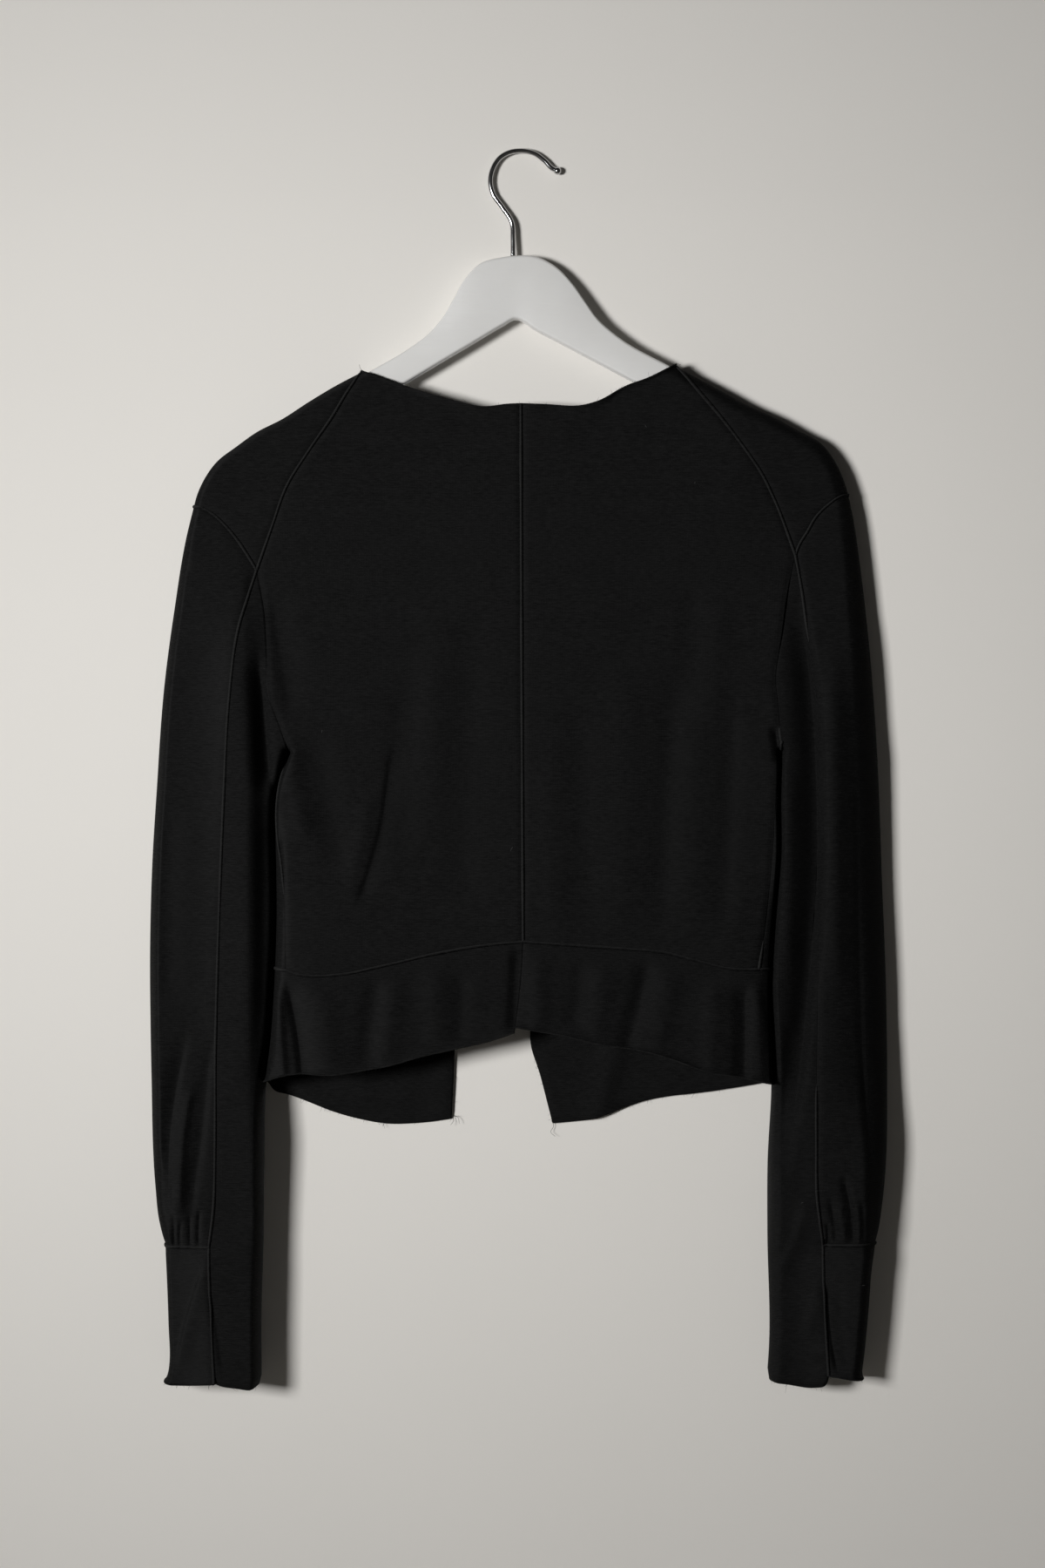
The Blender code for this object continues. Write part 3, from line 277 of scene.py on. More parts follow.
RIGHT_BODY_FOLDS = (
    (BACK, -0.9, 9, 8, (106, -350), (101, -450), (96, -552)),
    (BACK, -0.8, 8, 7, (147, -370), (144, -450), (139, -552)),
    (BACK, -0.6, 10, 9, (40, -370), (44, -470), (46, -552)),
    (BACK, 0.6, 10, 10, (124, -340), (121, -450), (118, -552)),
    (BACK, 0.6, 12, 12, (74, -350), (72, -460), (70, -552)),
    (BACK, -0.5, 9, 9, (119, -290), (118, -350), (113, -410)),
    (BACK, 0.5, 9, 9, (136, -300), (136, -350), (134, -410)),
    (BACK, 0.5, 10, 10, (20, -400), (21, -480), (22, -552)),
    (BACK, -2.0, 7, 6, (89, -556), (82, -588), (71, -628)),
    (BACK, 1.0, 8, 8, (104, -562), (99, -595), (92, -632)),
    (BACK, -0.9, 7, 7, (42, -558), (40, -582), (36, -612)),
    (BACK, 1.2, 7, 8, (13, -552), (12, -580), (11, -616)),
    (BACK, 0.8, 8, 8, (58, -560), (55, -588), (52, -618)),
    (BACK, -2.2, 7, 4, (154, -572), (154, -605), (153, -655)),
    (BACK, 0.8, 4, 4, (162, -572), (164, -605), (166, -655)),
    (BACK, -1.4, 3, 5, (166, -570), (171, -600), (177, -645)),
    (BACK, 1.0, 8, 7, (133, -570), (132, -605), (130, -650)),
    (BACK, -3.0, 3, 3, (175, -398), (177, -411), (178, -426)),
    (BACK, -4.0, 5, 5, (181, -500), (177, -535), (174, -572), (176, -610), (179, -650)),
    (FRONT, -3.6, 8, 9, (72, -605), (61, -640), (49, -690)),
    (FRONT, 1.1, 15, 17, (80, -310), (72, -430), (56, -600)),
    (FRONT, -1.6, 12, 12, (128, -410), (122, -530), (110, -665)),
    (FRONT, 1.0, 12, 10, (150, -430), (149, -540), (144, -650)),
)
LEFT_SLEEVE_FOLDS = (
    (BACK, 6.0, 23, 7, (-196, -270), (-192, -340), (-189, -440), (-189, -560), (-188, -650),
     (-186, -770)),
    (BACK, -6.0, 13, 4, (-172, -425), (-171, -500), (-171, -570), (-176, -620), (-181, -690)),
    (BACK, -8.0, 9, 3.5, (-183, -345), (-179, -380), (-176, -412), (-172, -450)),
    (BACK, 4.5, 15, 6, (-187, -310), (-185, -440), (-185, -560), (-186, -650)),
    (BACK, -2.0, 7, 2.5, (-229, -605), (-237, -645), (-242, -681), (-243, -715),
     (-240, -754)),
    (BACK, -1.3, 5, 3, (-211, -600), (-215, -633), (-220, -681), (-225, -715),
     (-229, -752)),
    (BACK, 1.8, 4, 3, (-226, -640), (-231, -670), (-234, -705), (-235, -740)),
    (BACK, -1.6, 3, 3, (-252, -688), (-247, -719), (-244, -754)),
    (BACK, -1.0, 1.6, 1.4, (-239, -733), (-239, -746), (-239, -760)),
    (BACK, -0.8, 1.5, 1.3, (-234, -738), (-235, -748), (-235, -760)),
    (BACK, -1.0, 1.6, 1.4, (-228, -734), (-228, -746), (-228, -760)),
    (BACK, -1.0, 1.6, 1.4, (-221, -730), (-222, -745), (-222, -760)),
    (BACK, 1.6, 2.2, 7, (-215, -764), (-223, -788), (-231, -815), (-237, -845)),
    (BACK, -2.4, 2.5, 6, (-213, -788), (-209, -816), (-204, -850)),
    (BACK, -1.2, 9, 9, (-243, -440), (-244, -520), (-242, -600)),
    (BACK, 6.0, 30, 8, (-191, -735), (-188, -790), (-186, -900)),
    (BACK, 5.5, 24, 30, (-213, -735), (-212, -790), (-210, -900)),
    (BACK, -1.2, 3, 3, (-244, -258), (-243, -275), (-243, -300)),
    (BACK, -1.0, 3, 3, (-233, -262), (-232, -276), (-233, -296)),
    (FRONT, -1.2, 12, 12, (-220, -320), (-219, -500), (-217, -700)),
    (FRONT, 0.9, 9, 9, (-237, -420), (-240, -560), (-238, -700)),
    (FRONT, -2.2, 4, 4, (-222, -690), (-226, -724), (-228, -752)),
    (FRONT, -2.0, 4, 4, (-238, -676), (-240, -716), (-239, -752)),
    (FRONT, 1.6, 4, 4, (-230, -684), (-233, -720), (-234, -754)),
)
RIGHT_SLEEVE_FOLDS = (
    (BACK, -11.5, 11.5, 3.2, (189, -282), (193, -316), (201, -372), (204.5, -436), (205, -500),
     (202, -548), (198, -590), (193.5, -633), (186, -681), (180, -716)),
    (BACK, 2.6, 5, 6, (184, -420), (184, -500), (182, -580)),
    (BACK, -5.2, 20, 26, (244, -330), (244, -430), (243, -560), (243, -639), (245, -700)),
    (BACK, -1.2, 3, 12, (231, -400), (233, -480), (234, -560), (237, -639), (241, -700)),
    (BACK, -2.6, 3, 12, (236, -620), (241, -691), (243, -722), (245, -748), (246, -775)),
    (BACK, -2.0, 4, 6, (181, -636), (178, -670), (177, -712)),
    (BACK, 4.0, 48, 20, (250, -735), (246, -790), (244, -900)),
    (BACK, -6.0, 20, 38, (176, -730), (175, -800), (174, -910)),
    (BACK, -2.5, 8, 6, (187, -600), (182, -645), (178, -695)),
    (BACK, 1.6, 8, 8, (215, -330), (217, -450), (218, -600)),
    (BACK, -0.9, 2, 2, (213, -722), (216, -740), (218, -757)),
    (BACK, -1.6, 3, 2.2, (222, -706), (226, -724), (228.5, -740), (230, -759)),
    (BACK, -0.9, 2, 1.8, (235, -724), (236, -742), (236, -759)),
    (BACK, -0.8, 1.6, 1.4, (241, -736), (242, -748), (243, -759)),
    (BACK, 0.7, 2, 2, (220, -728), (222, -742), (224, -758)),
    (BACK, 0.7, 2, 2, (232, -726), (233, -742), (233, -758)),
    (BACK, -1.4, 1.3, 1.3, (211, -740), (212, -748), (212, -759)),
    (BACK, 2.2, 3, 7, (198, -722), (190, -750), (182, -769), (176, -784)),
    (BACK, 2.0, 3, 6, (205, -782), (201, -805), (196, -824)),
    (BACK, -2.4, 2.5, 6, (212, -780), (215, -820), (220, -850)),
    (FRONT, -1.2, 12, 12, (215, -320), (214, -500), (214, -700)),
    (FRONT, 0.9, 9, 9, (234, -420), (238, -560), (238, -700)),
    (FRONT, -2.2, 4, 4, (222, -690), (225, -724), (226, -750)),
    (FRONT, -2.0, 4, 4, (236, -676), (237, -716), (237, -750)),
    (FRONT, 1.6, 4, 4, (229, -684), (231, -720), (231, -752)),
)

# ---- hanger: x, top z, underside z, share of the full thickness ----------------------
HANGER = (
    (-0.2140, -0.2262, -0.2334, 0.40),
    (-0.2118, -0.2226, -0.2372, 0.85),
    (-0.2060, -0.2166, -0.2356, 1.00),
    (-0.1830, -0.1990, -0.2213, 1.00),
    (-0.1477, -0.1760, -0.2003, 1.00),
    (-0.1033, -0.1512, -0.1740, 1.00),
    (-0.0784, -0.1367, -0.1592, 1.00),
    (-0.0642, -0.1260, -0.1508, 1.00),
    (-0.0535, -0.1136, -0.1444, 1.00),
    (-0.0464, -0.1012, -0.1402, 1.00),
    (-0.0394, -0.0887, -0.1361, 1.00),
    (-0.0287, -0.0775, -0.1297, 1.00),
    (-0.0120, -0.0727, -0.1198, 1.00),
    (-0.0045, -0.0717, -0.1158, 1.00),
    (0.0120, -0.0728, -0.1242, 1.00),
    (0.0247, -0.0796, -0.1308, 1.00),
    (0.0353, -0.0905, -0.1364, 1.00),
    (0.0442, -0.1030, -0.1411, 1.00),
    (0.0531, -0.1154, -0.1458, 1.00),
    (0.0673, -0.1279, -0.1533, 1.00),
    (0.1047, -0.1492, -0.1731, 1.00),
    (0.1560, -0.1770, -0.2001, 1.00),
    (0.1931, -0.1960, -0.2197, 1.00),
    (0.2070, -0.2074, -0.2276, 1.00),
    (0.2118, -0.2140, -0.2290, 0.85),
    (0.2140, -0.2186, -0.2252, 0.40),
)

# ---- hook: centre line of the wire, x, z ---------------------------------------------
HOOK = (
    (-0.0054, -0.0717), (-0.0055, -0.0600), (-0.0062, -0.0485), (-0.0132, -0.0372),
    (-0.0193, -0.0283), (-0.0212, -0.0194), (-0.0194, -0.0105), (-0.0141, -0.0027),
    (-0.0073, 0.0009), (0.0000, 0.0018), (0.0100, -0.0004), (0.0168, -0.0054),
    (0.0222, -0.0107), (0.0255, -0.0119), (0.0292, -0.0123),
)
HOOK_RINGS = 150
HOOK_SEAT_GAP = 0.0003   # between the wire's foot and the hanger's neck
SEAT_FADE = 8            # how soon the wire above its foot is back on its line
BALL_RINGS = 14
BALL_FROM, BALL_ON = -0.75, 0.8   # the ball's first ring and its middle, in its radii
BALL_FLAT = 0.004        # square of the least share of that radius at its poles
HANGER_SHARE = 0.02      # the thickness column's weight against the lengths beside it

# ---- the studio's wall and lights -----------------------------------------------------
HANGER_FOOT = -0.150     # height where the hanger goes into the cloth
WALL_LEAN = 0.0074       # the wall comes this much nearer behind the hook
WALL_RISE = 0.125        # over this height above the hanger's foot
WALL_KNEE = -0.580       # below this it stands upright
WALL_ROWS = 25           # rows of the wall where it comes nearer
ROOM_SIDE, ROOM_TOP = 4.0, 2.2   # half the room's width, and its height over the hook
SENSOR = 36.0            # height of the camera's sensor, in mm
# light: its place, the point that it faces (None is the height where the camera looks),
# its side and its spread in degrees
LIGHTS = {
    "key": ((-1.66, -2.52, -0.34), (-0.02, 0.0, -0.34), 0.60, 62),
    "fill": ((1.2, -3.2, 0.2), None, 2.4, 180),
    "rear": ((0.0, 3.2, -0.30), None, 1.6, 180),
}
SKY = (1.0, 0.97, 0.93, 1.0)


# ---- curves ---------------------------------------------------------------------------
def stretches(line):
    """Length of each stretch of a line of points."""
    return np.linalg.norm(np.diff(line, axis=0), axis=-1)


def run_along(line):
    """Length run along a line at each of its points."""
    return np.concatenate([[0.0], np.cumsum(stretches(line))])


def lengths(line):
    """Share of a line's length run at each of its points."""
    return run_along(line) / stretches(line).sum()


def smooth_curve(rows, per_span=10):
    """Points along a smooth curve through a table's rows, by cubic spans on chord length."""
    p = np.asarray(rows, float)
    chord = np.maximum(stretches(p), TINY)
    slope = np.diff(p, axis=0) / chord[:, None]
    tangent = np.empty_like(p)
    tangent[0] = slope[0]
    tangent[-1] = slope[-1]
    share = chord[:-1] / (chord[:-1] + chord[1:])
    tangent[1:-1] = slope[:-1] * (1 - share)[:, None] + slope[1:] * share[:, None]
    t = np.linspace(0, 1, per_span, endpoint=False)[:, None]
    spans = []
    for a, b, ta, tb, h in zip(p[:-1], p[1:], tangent[:-1], tangent[1:], chord):
        spans.append(
            (2 * t**3 - 3 * t**2 + 1) * a + (t**3 - 2 * t**2 + t) * h * ta
            + (3 * t**2 - 2 * t**3) * b + (t**3 - t**2) * h * tb
        )
    return np.vstack(spans + [p[-1:]])


def read_at(places, run, values):
    """Rows of values that belong to a line's points, read at other places of its run."""
    return np.stack([np.interp(places, run, each) for each in values.T], -1)


def along(curve, share):
    """Points at the given shares of a curve's length."""
    run = run_along(curve)
    return read_at(np.asarray(share, float) * run[-1], run, curve)


def smoothstep(t):
    """A soft step from 0 to 1."""
    t = np.clip(t, 0, 1)
    return t * t * (3 - 2 * t)


def column(table, index, z):
    """A table's column read at z, which its first column holds."""
    rows = np.asarray(table)[::-1]
    return np.interp(z, rows[:, 0], rows[:, index])


# ---- the shared form --------------------------------------------------------------------
def beside(x, z, line, reach):
    """Each point's distance to a line of x, z points, the side it lies on and the run there.

    For each stretch of the line the foot of the perpendicular is held between its ends,
    and the distance is never more than the reach.  The side is +1 towards +X of a line
    that runs down.  The run is a share of the line's length.
    """
    shape, x, z = x.shape, x.ravel(), z.ravel()
    best = np.full(x.shape, float(reach))
    side, run = np.ones(x.shape), np.zeros(x.shape)
    size, start = stretches(line), run_along(line)
    for k, (a, b) in enumerate(zip(line[:-1], line[1:])):
        low, high = np.minimum(a, b) - reach, np.maximum(a, b) + reach
        close = np.flatnonzero((x > low[0]) & (x < high[0]) & (z > low[1]) & (z < high[1]))
        px, pz = x[close] - a[0], z[close] - a[1]
        dx, dz = b - a
        t = np.clip((px * dx + pz * dz) / max(dx * dx + dz * dz, TINY**2), 0, 1)
        off = np.hypot(px - t * dx, pz - t * dz)
        nearer = off < best[close]
        kept = close[nearer]
        best[kept] = off[nearer]
        side[kept] = np.where(pz * dx - px * dz < 0, -1.0, 1.0)[nearer]
        run[kept] = (start[k] + t * size[k])[nearer] / start[-1]
    return best.reshape(shape), side.reshape(shape), run.reshape(shape)


def near(x, z, line, reach):
    """Each point's distance to a line, or the reach where it is further."""
    return beside(x, z, line, reach)[0]


def waves(x, z, layer):
    """Slow waves of hung cloth: a sum of sine waves of fixed random length and phase."""
    rng = np.random.default_rng(WAVE_SEED + layer)
    total = np.zeros_like(x)
    for _ in range(WAVE_COUNT):
        across = rng.normal(0, 1) / WAVE_ACROSS
        down = rng.normal(0, 1) / WAVE_DOWN
        total += np.sin(across * x + down * z + rng.uniform(0, 2 * math.pi))
    return total * WAVE_SHARE


class Form:
    """One side of the garment: its curves, and the depth of the cloth over them.

    The depth is the table's depth at that height, plus folds and waves and less the
    seams' grooves, times sqrt(1 - (1 - t)^2) for each edge that the cloth turns at,
    where t is the distance from the edge over the turn's reach there.
    """

    def __init__(self, tables, part, folds, sizes):
        self.sign = tables["sign"]
        self.part = part
        self.sizes = sizes
        names = [n for n in tables if n not in ("sign", "band_turn")]
        self.curve = {n: smooth_curve(tables[n]) for n in names}
        self.curve["centre_back"] = smooth_curve(CENTRE_BACK)
        self.turn = tables["band_turn"]
        self.underarm_point = self.curve["inner"][0].copy()
        away = self.sign if part == "sleeve" else -self.sign
        for name in ("underarm", "inner", "body_side", "side_seam"):
            line = self.curve[name]
            off = np.linalg.norm(line - self.underarm_point, axis=1)
            line[:, 0] += away * UNDERARM_PART * np.exp(-((off / UNDERARM_FADE) ** 2))
        self.outline = np.vstack([
            self.curve["shoulder"], self.curve["outer"][1:], self.curve["cuff_outer"]
        ])
        self.slit = self.curve["inner" if part == "sleeve" else "body_side"]
        self.curve["gather"] = np.stack(
            [self.curve["cuff_outer"][0], self.curve["cuff_seam"][0]]
        )
        self.curve["front_waist"] = np.array([self.turn, self.curve["front_band"][0]])
        self.folds = [
            (layer, height * MM, left * MM, right * MM, smooth_curve(np.array(path) * MM, 6))
            for layer, height, left, right, *path in folds
        ]

    def grooved(self, layer):
        """The seams that draw this layer in."""
        if self.part == "sleeve":
            return ("raglan", "armhole", "sleeve_seam", "underarm", "cuff_seam")
        if layer == BACK:
            return ("raglan", "underarm", "side_seam", "band_top", "centre_back",
                    "centre_band")
        return ("raglan", "underarm", "front_waist")

    def turns(self, x, z):
        """Distances from the outline and from the slit, as shares of the turn's reach."""
        inner = INNER_LEFT if self.sign < 0 else INNER_RIGHT
        soft = column(TURNS, OUTER_EDGE, z) * (LIT_EDGE if self.sign < 0 else 1.0)
        outer = near(x, z, self.outline, TURN_REACH) / soft
        slit = near(x, z, self.slit, TURN_REACH)
        return outer, slit / column(TURNS, inner if self.part == "sleeve" else BODY_SIDE, z)

    def depth(self, x, z, layer, turns):
        """Height of the layer off its middle surface, before its side is applied."""
        mix = smoothstep((np.abs(x) - BODY_REACH) / (SLEEVE_REACH - BODY_REACH))
        body = column(DEPTHS, BODY_BACK if layer == BACK else BODY_FRONT, z)
        sleeve = column(DEPTHS, SLEEVE_BACK if layer == BACK else SLEEVE_FRONT, z)
        full = body + (sleeve - body) * mix
        turn = 1.0
        for t in turns:
            turn = turn * np.sqrt(np.maximum(1 - (1 - np.minimum(t, 1)) ** 2, 0))
        full = full + self.fold_height(x, z, layer)
        full = full + self.sizes.waves * waves(x, z, layer)
        return np.maximum(full - self.grooves(x, z, layer), LEAST_DEPTH) * turn

    def grooves(self, x, z, layer):
        """Each seam draws its cloth in by a bell curve across it; the gathers' more."""
        reach = 3 * self.sizes.groove_width
        total = np.zeros_like(x)
        for name in self.grooved(layer):
            off = near(x, z, self.curve[name], reach) / self.sizes.groove_width
            total = np.maximum(total, self.sizes.groove * np.exp(-(off**2)))
        if self.part == "sleeve":
            off = near(x, z, self.curve["gather"], reach * 2) / self.sizes.groove_width
            off = off / GATHER_WIDTH
            total = np.maximum(total, self.sizes.gather_tuck * np.exp(-(off**2)))
        return total

    def fold_height(self, x, z, layer):
        """Sum of the listed ridges and troughs.

        Each is a bell curve across its own line, with its own width on either side, and
        rises and falls in a soft step over the ends of the line.
        """
        total = np.zeros_like(x)
        for where, height, left, right, line in self.folds:
            if where != layer:
                continue
            off, side, run = beside(x, z, line, 3 * max(left, right))
            half = np.where(side < 0, left, right)
            ends = smoothstep(run / FOLD_ENDS) * smoothstep((1 - run) / FOLD_ENDS)
            total += height * np.exp(-((off / half) ** 2)) * ends
        return total

    def points(self, xz, layer):
        """The x, y, z points of a layer over the given x, z points.

        The middle surface leans forward by the tables' values, the more at the outline.
        """
        x, z = xz[..., 0], xz[..., 1]
        turns = self.turns(x, z)
        lean = column(TURNS, EDGE_LEAN, z) * (1 - smoothstep(turns[0]))
        lean = lean + column(DEPTHS, LEAN, z)
        return np.stack([x, layer * self.depth(x, z, layer, turns) + lean, z], -1)

    def stations(self, name, layer, count):
        """Shares of a curve's length that space points out along it on the cloth."""
        share = np.linspace(0, 1, TURN_SAMPLES)
        run = travelled(self.points(along(self.curve[name], share), layer)[None])[0]
        return np.interp(np.linspace(0, run[-1], count + 1), run, share)


def travelled(path):
    """Length run along each row of points, with its turning counted as length too."""
    step = np.diff(path, axis=1)
    size = np.linalg.norm(step, axis=2)
    way = step / np.maximum(size, TINY)[..., None]
    cosine = np.clip((way[:, 1:] * way[:, :-1]).sum(2), -1, 1)
    both = np.minimum(size[:, 1:], size[:, :-1]) > LEAST_STEP
    bend = np.where(both, np.arccos(cosine), 0.0)
    size[:, 1:] += TURN_WEIGHT * bend / 2
    size[:, :-1] += TURN_WEIGHT * bend / 2
    return np.concatenate([np.zeros((len(path), 1)), np.cumsum(size, axis=1)], axis=1)


def evenly(path, count):
    """Each row of a grid of points, read again at equal runs along it.

    The places read are averaged over the rows around, so that no row's columns stray.
    """
    samples = np.arange(path.shape[1])
    at = np.stack([np.interp(np.linspace(0, r[-1], count + 1), r, samples)
                   for r in travelled(path)])
    wide = np.pad(at, ((ROW_MEAN, ROW_MEAN), (0, 0)), mode="edge")
    at = sum(wide[k:k + len(path)] for k in range(2 * ROW_MEAN + 1)) / (2 * ROW_MEAN + 1)
    low = np.clip(np.floor(at + 1e-9).astype(int), 0, len(samples) - 2)
    part = (at - low)[..., None]
    row = np.arange(len(path))[:, None]
    return path[row, low] * (1 - part) + path[row, low + 1] * part


def shares_across():
    """Shares from 0 to 1 across a row of points, closer together near 0."""
    return (np.linspace(0, 1, TURN_SAMPLES) ** 2)[None, :, None]


def half_turn(form, fold, seam, top, bottom, layer, count, fade_rows=BEND_FADE, bow=1.0):
    """One layer of a wrapped panel, its rows running from the fold line to the seam.

    Each row is the straight line between the two, or with a bow above 1 leaves the
    fold level and rises later.  It is bent near the panel's ends towards the top and
    bottom curves, then lifted to the cloth's depth and spaced out along its length.
    """
    f = shares_across()
    s = np.linspace(0, 1, len(fold))[:, None, None]
    share = np.concatenate([1 - (1 - f) ** bow, f**bow], axis=2)
    straight = fold[:, None] * (1 - share) + seam[:, None] * share
    bent = straight.copy()
    for curve, row, fade in ((top, 0, (1 - s) ** fade_rows), (bottom, -1, s**BEND_FADE)):
        if curve is not None:
            bent += fade * (along(curve, f[0, :, 0])[None] - straight[row][None])
    return evenly(form.points(bent, layer), count)


def wrapped(form, fold, seam, top, bottom, count, front_seam=None, front_top=None,
            front_bottom=None, **bending):
    """A panel that runs from the back seam round a fold to the front seam."""
    back = half_turn(form, fold, seam, top, bottom, BACK, count, **bending)
    front = half_turn(
        form, fold, seam if front_seam is None else front_seam,
        top if front_top is None else front_top,
        bottom if front_bottom is None else front_bottom, FRONT, count, **bending,
    )
    return np.concatenate([back[:, ::-1], front[:, 1:]], axis=1)


# ---- panels: every grid's rows run down and its columns away from the centre back -------
def body_border(form, layer):
    """Points down a body panel's outer border: raglan, underarm and side seam."""
    raglan = form.curve["raglan"]
    upper = along(raglan, form.stations("raglan", BACK, RAGLAN_ROWS))
    middle = along(form.curve["underarm"], form.stations("underarm", layer, UNDERARM_ROWS))
    lower = along(form.curve["side_seam"], np.linspace(0, 1, SIDE_ROWS + 1))
    return upper, middle, lower


def eased(share):
    """Shares that rise more evenly: each the mean of those around it."""
    wide = np.concatenate([
        share[0] - (share[EASE_ROWS:0:-1] - share[0]), share,
        share[-1] + (share[-1] - share[-2:-EASE_ROWS - 2:-1]),
    ])
    return np.convolve(wide, np.full(2 * EASE_ROWS + 1, 1 / (2 * EASE_ROWS + 1)), "valid")


def back_panel(form):
    """From the centre back seam out to the raglan, underarm and side seams."""
    border = np.vstack([part[k > 0:] for k, part in enumerate(body_border(form, BACK))])
    share = eased(lengths(border))
    middle = along(form.curve["centre_back"], share)
    f = shares_across()
    straight = border[:, None] * (1 - f) + middle[:, None] * f
    fall = share[:, None, None]
    top = along(form.curve["neckline"], f[0, :, 0]) - straight[0]
    foot = along(form.curve["band_top"], f[0, :, 0]) - straight[-1]
    bent = straight + (1 - fall) ** BEND_FADE * top + fall**BEND_FADE * foot
    bent[:, 0] = border
    bent[:, -1] = middle
    return evenly(form.points(bent, BACK), BACK_COLUMNS)[:, ::-1]


def front_panel(form):
    """From the seam on the back layer round the side to the open front edge."""
    upper, middle, lower = body_border(form, FRONT)
    border = np.vstack([upper, middle[1:], lower[1:]])
    above = len(upper) + len(middle) - 2
    fold = border.copy()
    side = form.curve["body_side"]
    down = np.argsort(side[:, 1])
    fold[above:, 0] = np.interp(border[above:, 1], side[down, 1], side[down, 0])
    fold[-1] = form.turn
    edge = along(form.curve["front_edge"], eased(lengths(border)))
    f = shares_across()
    wrap = form.points(fold[:, None] * (1 - f[:, ::-1]) + border[:, None] * f[:, ::-1], BACK)
    wrap[:above] = form.points(border[:above, None] + 0 * f, FRONT)
    face = form.points(fold[:, None] * (1 - f) + edge[:, None] * f, FRONT)
    return evenly(np.concatenate([wrap, face[:, 1:]], axis=1), FRONT_COLUMNS)


def shoulder_cap(form):
    """From the raglan seam over the shoulder to the front one, down to the armhole."""
    share = form.stations("raglan", BACK, CAP_ROWS)
    seam = along(form.curve["raglan"], share)
    fold = along(form.curve["shoulder"], share)
    return wrapped(form, fold, seam, None, form.curve["armhole"], CAP_COLUMNS)


def rows_down(curve, rows, foot=1.0):
    """Points down a curve, closer together towards its foot as that power grows."""
    return along(curve, 1 - (1 - np.linspace(0, 1, rows + 1)) ** foot)


def sleeve_upper(form):
    """The outer sleeve, from the armhole to the gathers above the cuff."""
    fold = rows_down(form.curve["outer"], SLEEVE_ROWS, SLEEVE_FOOT)
    seam = rows_down(form.curve["sleeve_seam"], SLEEVE_ROWS, SLEEVE_FOOT)
    return wrapped(form, fold, seam, form.curve["armhole"], None, SLEEVE_COLUMNS)


def sleeve_under(form):
    """The inner sleeve, from the underarm down to the hem, with no cuff seam.

    The fold's rows start at the underarm, below the seam's, and have caught up with
    them a hand lower.
    """
    whole = np.vstack([form.curve["sleeve_seam"], form.curve["cuff_seam"][1:]])
    seam = along(whole, np.linspace(0, 1, UNDER_ROWS + 1))
    inner = form.curve["inner"]
    lag = inner[0, 1] - seam[0, 1]
    left = np.clip(1 - (seam[0, 1] - seam[:, 1]) / CATCH_UP, 0, 1)
    z = seam[:, 1] + lag * left**CATCH_POWER
    z[-1] = inner[-1, 1]
    fold = np.stack([np.interp(-z, -inner[:, 1], inner[:, 0]), z], 1)
    return wrapped(form, fold, seam, form.curve["underarm"][::-1], form.curve["under_hem"],
                   UNDER_COLUMNS, fade_rows=UNDERARM_FADE_ROWS, bow=UNDERARM_BOW)


def cuff(form):
    """The outer cuff below the gathers."""
    fold = rows_down(form.curve["cuff_outer"], CUFF_ROWS)
    seam = rows_down(form.curve["cuff_seam"], CUFF_ROWS)
    return wrapped(form, fold, seam, None, form.curve["cuff_hem"], CUFF_COLUMNS,
                   front_bottom=form.curve["cuff_front_hem"])


def hem_band(form):
    """The band from the centre back round the side to the front edge."""
    side = form.curve["body_side"]
    start = int(np.argmin(np.linalg.norm(side - np.asarray(form.turn), axis=1)))
    return wrapped(
        form, rows_down(side[start:], BAND_ROWS, BAND_FOOT),
        rows_down(form.curve["centre_band"], BAND_ROWS, BAND_FOOT),
        np.vstack([[form.turn], form.curve["band_top"]]), form.curve["back_hem"],
        BAND_COLUMNS,
        front_seam=rows_down(form.curve["front_band"], BAND_ROWS, BAND_FOOT),
        front_top=form.curve["front_waist"], front_bottom=form.curve["front_hem"],
    )


# ---- meshes -----------------------------------------------------------------------------
CURL_WAVES = (0.0061, 0.0173, 0.0230)   # lengths along an edge over which its curl varies
CURL_PHASES = (1.0, 0.4)
CURL_UNEVEN, REACH_UNEVEN = 0.35, 0.25  # shares by which its lift and its reach vary
PAINTED_LIGHT = 1.15               # how much lighter the painted light makes cloth that faces left, towards the key light
PAINTED_LIGHT_MOST = {"left": 0.40, "right": 0.15}   # sideways part of the normal that gets the most painted light
PAINTED_SHADE_MOST = -0.30        # and the part towards the right that gets the darkest painted shade
PAINTED_LIGHT_FADE = 0.20          # over this much more the painted light fades away
EXTRA_PAINTED_LIGHT = {("cuff", "left"): 0.13, ("sleeve_under", "right"): 0.15}   # more painted light, added to the painted light these pieces already get
EXTRA_LIGHT_TOP = -0.60         # from this height down
EXTRA_LIGHT_FADE = 0.14         # and in full this much lower


def unit(vectors):
    """Vectors brought to a length of 1."""
    return vectors / np.maximum(np.linalg.norm(vectors, axis=-1, keepdims=True), TINY)


def outward(grid, sign):
    """Unit normals of a grid: the cross product of its columns' and rows' directions."""
    return unit(-sign * np.cross(np.gradient(grid, axis=1), np.gradient(grid, axis=0)))


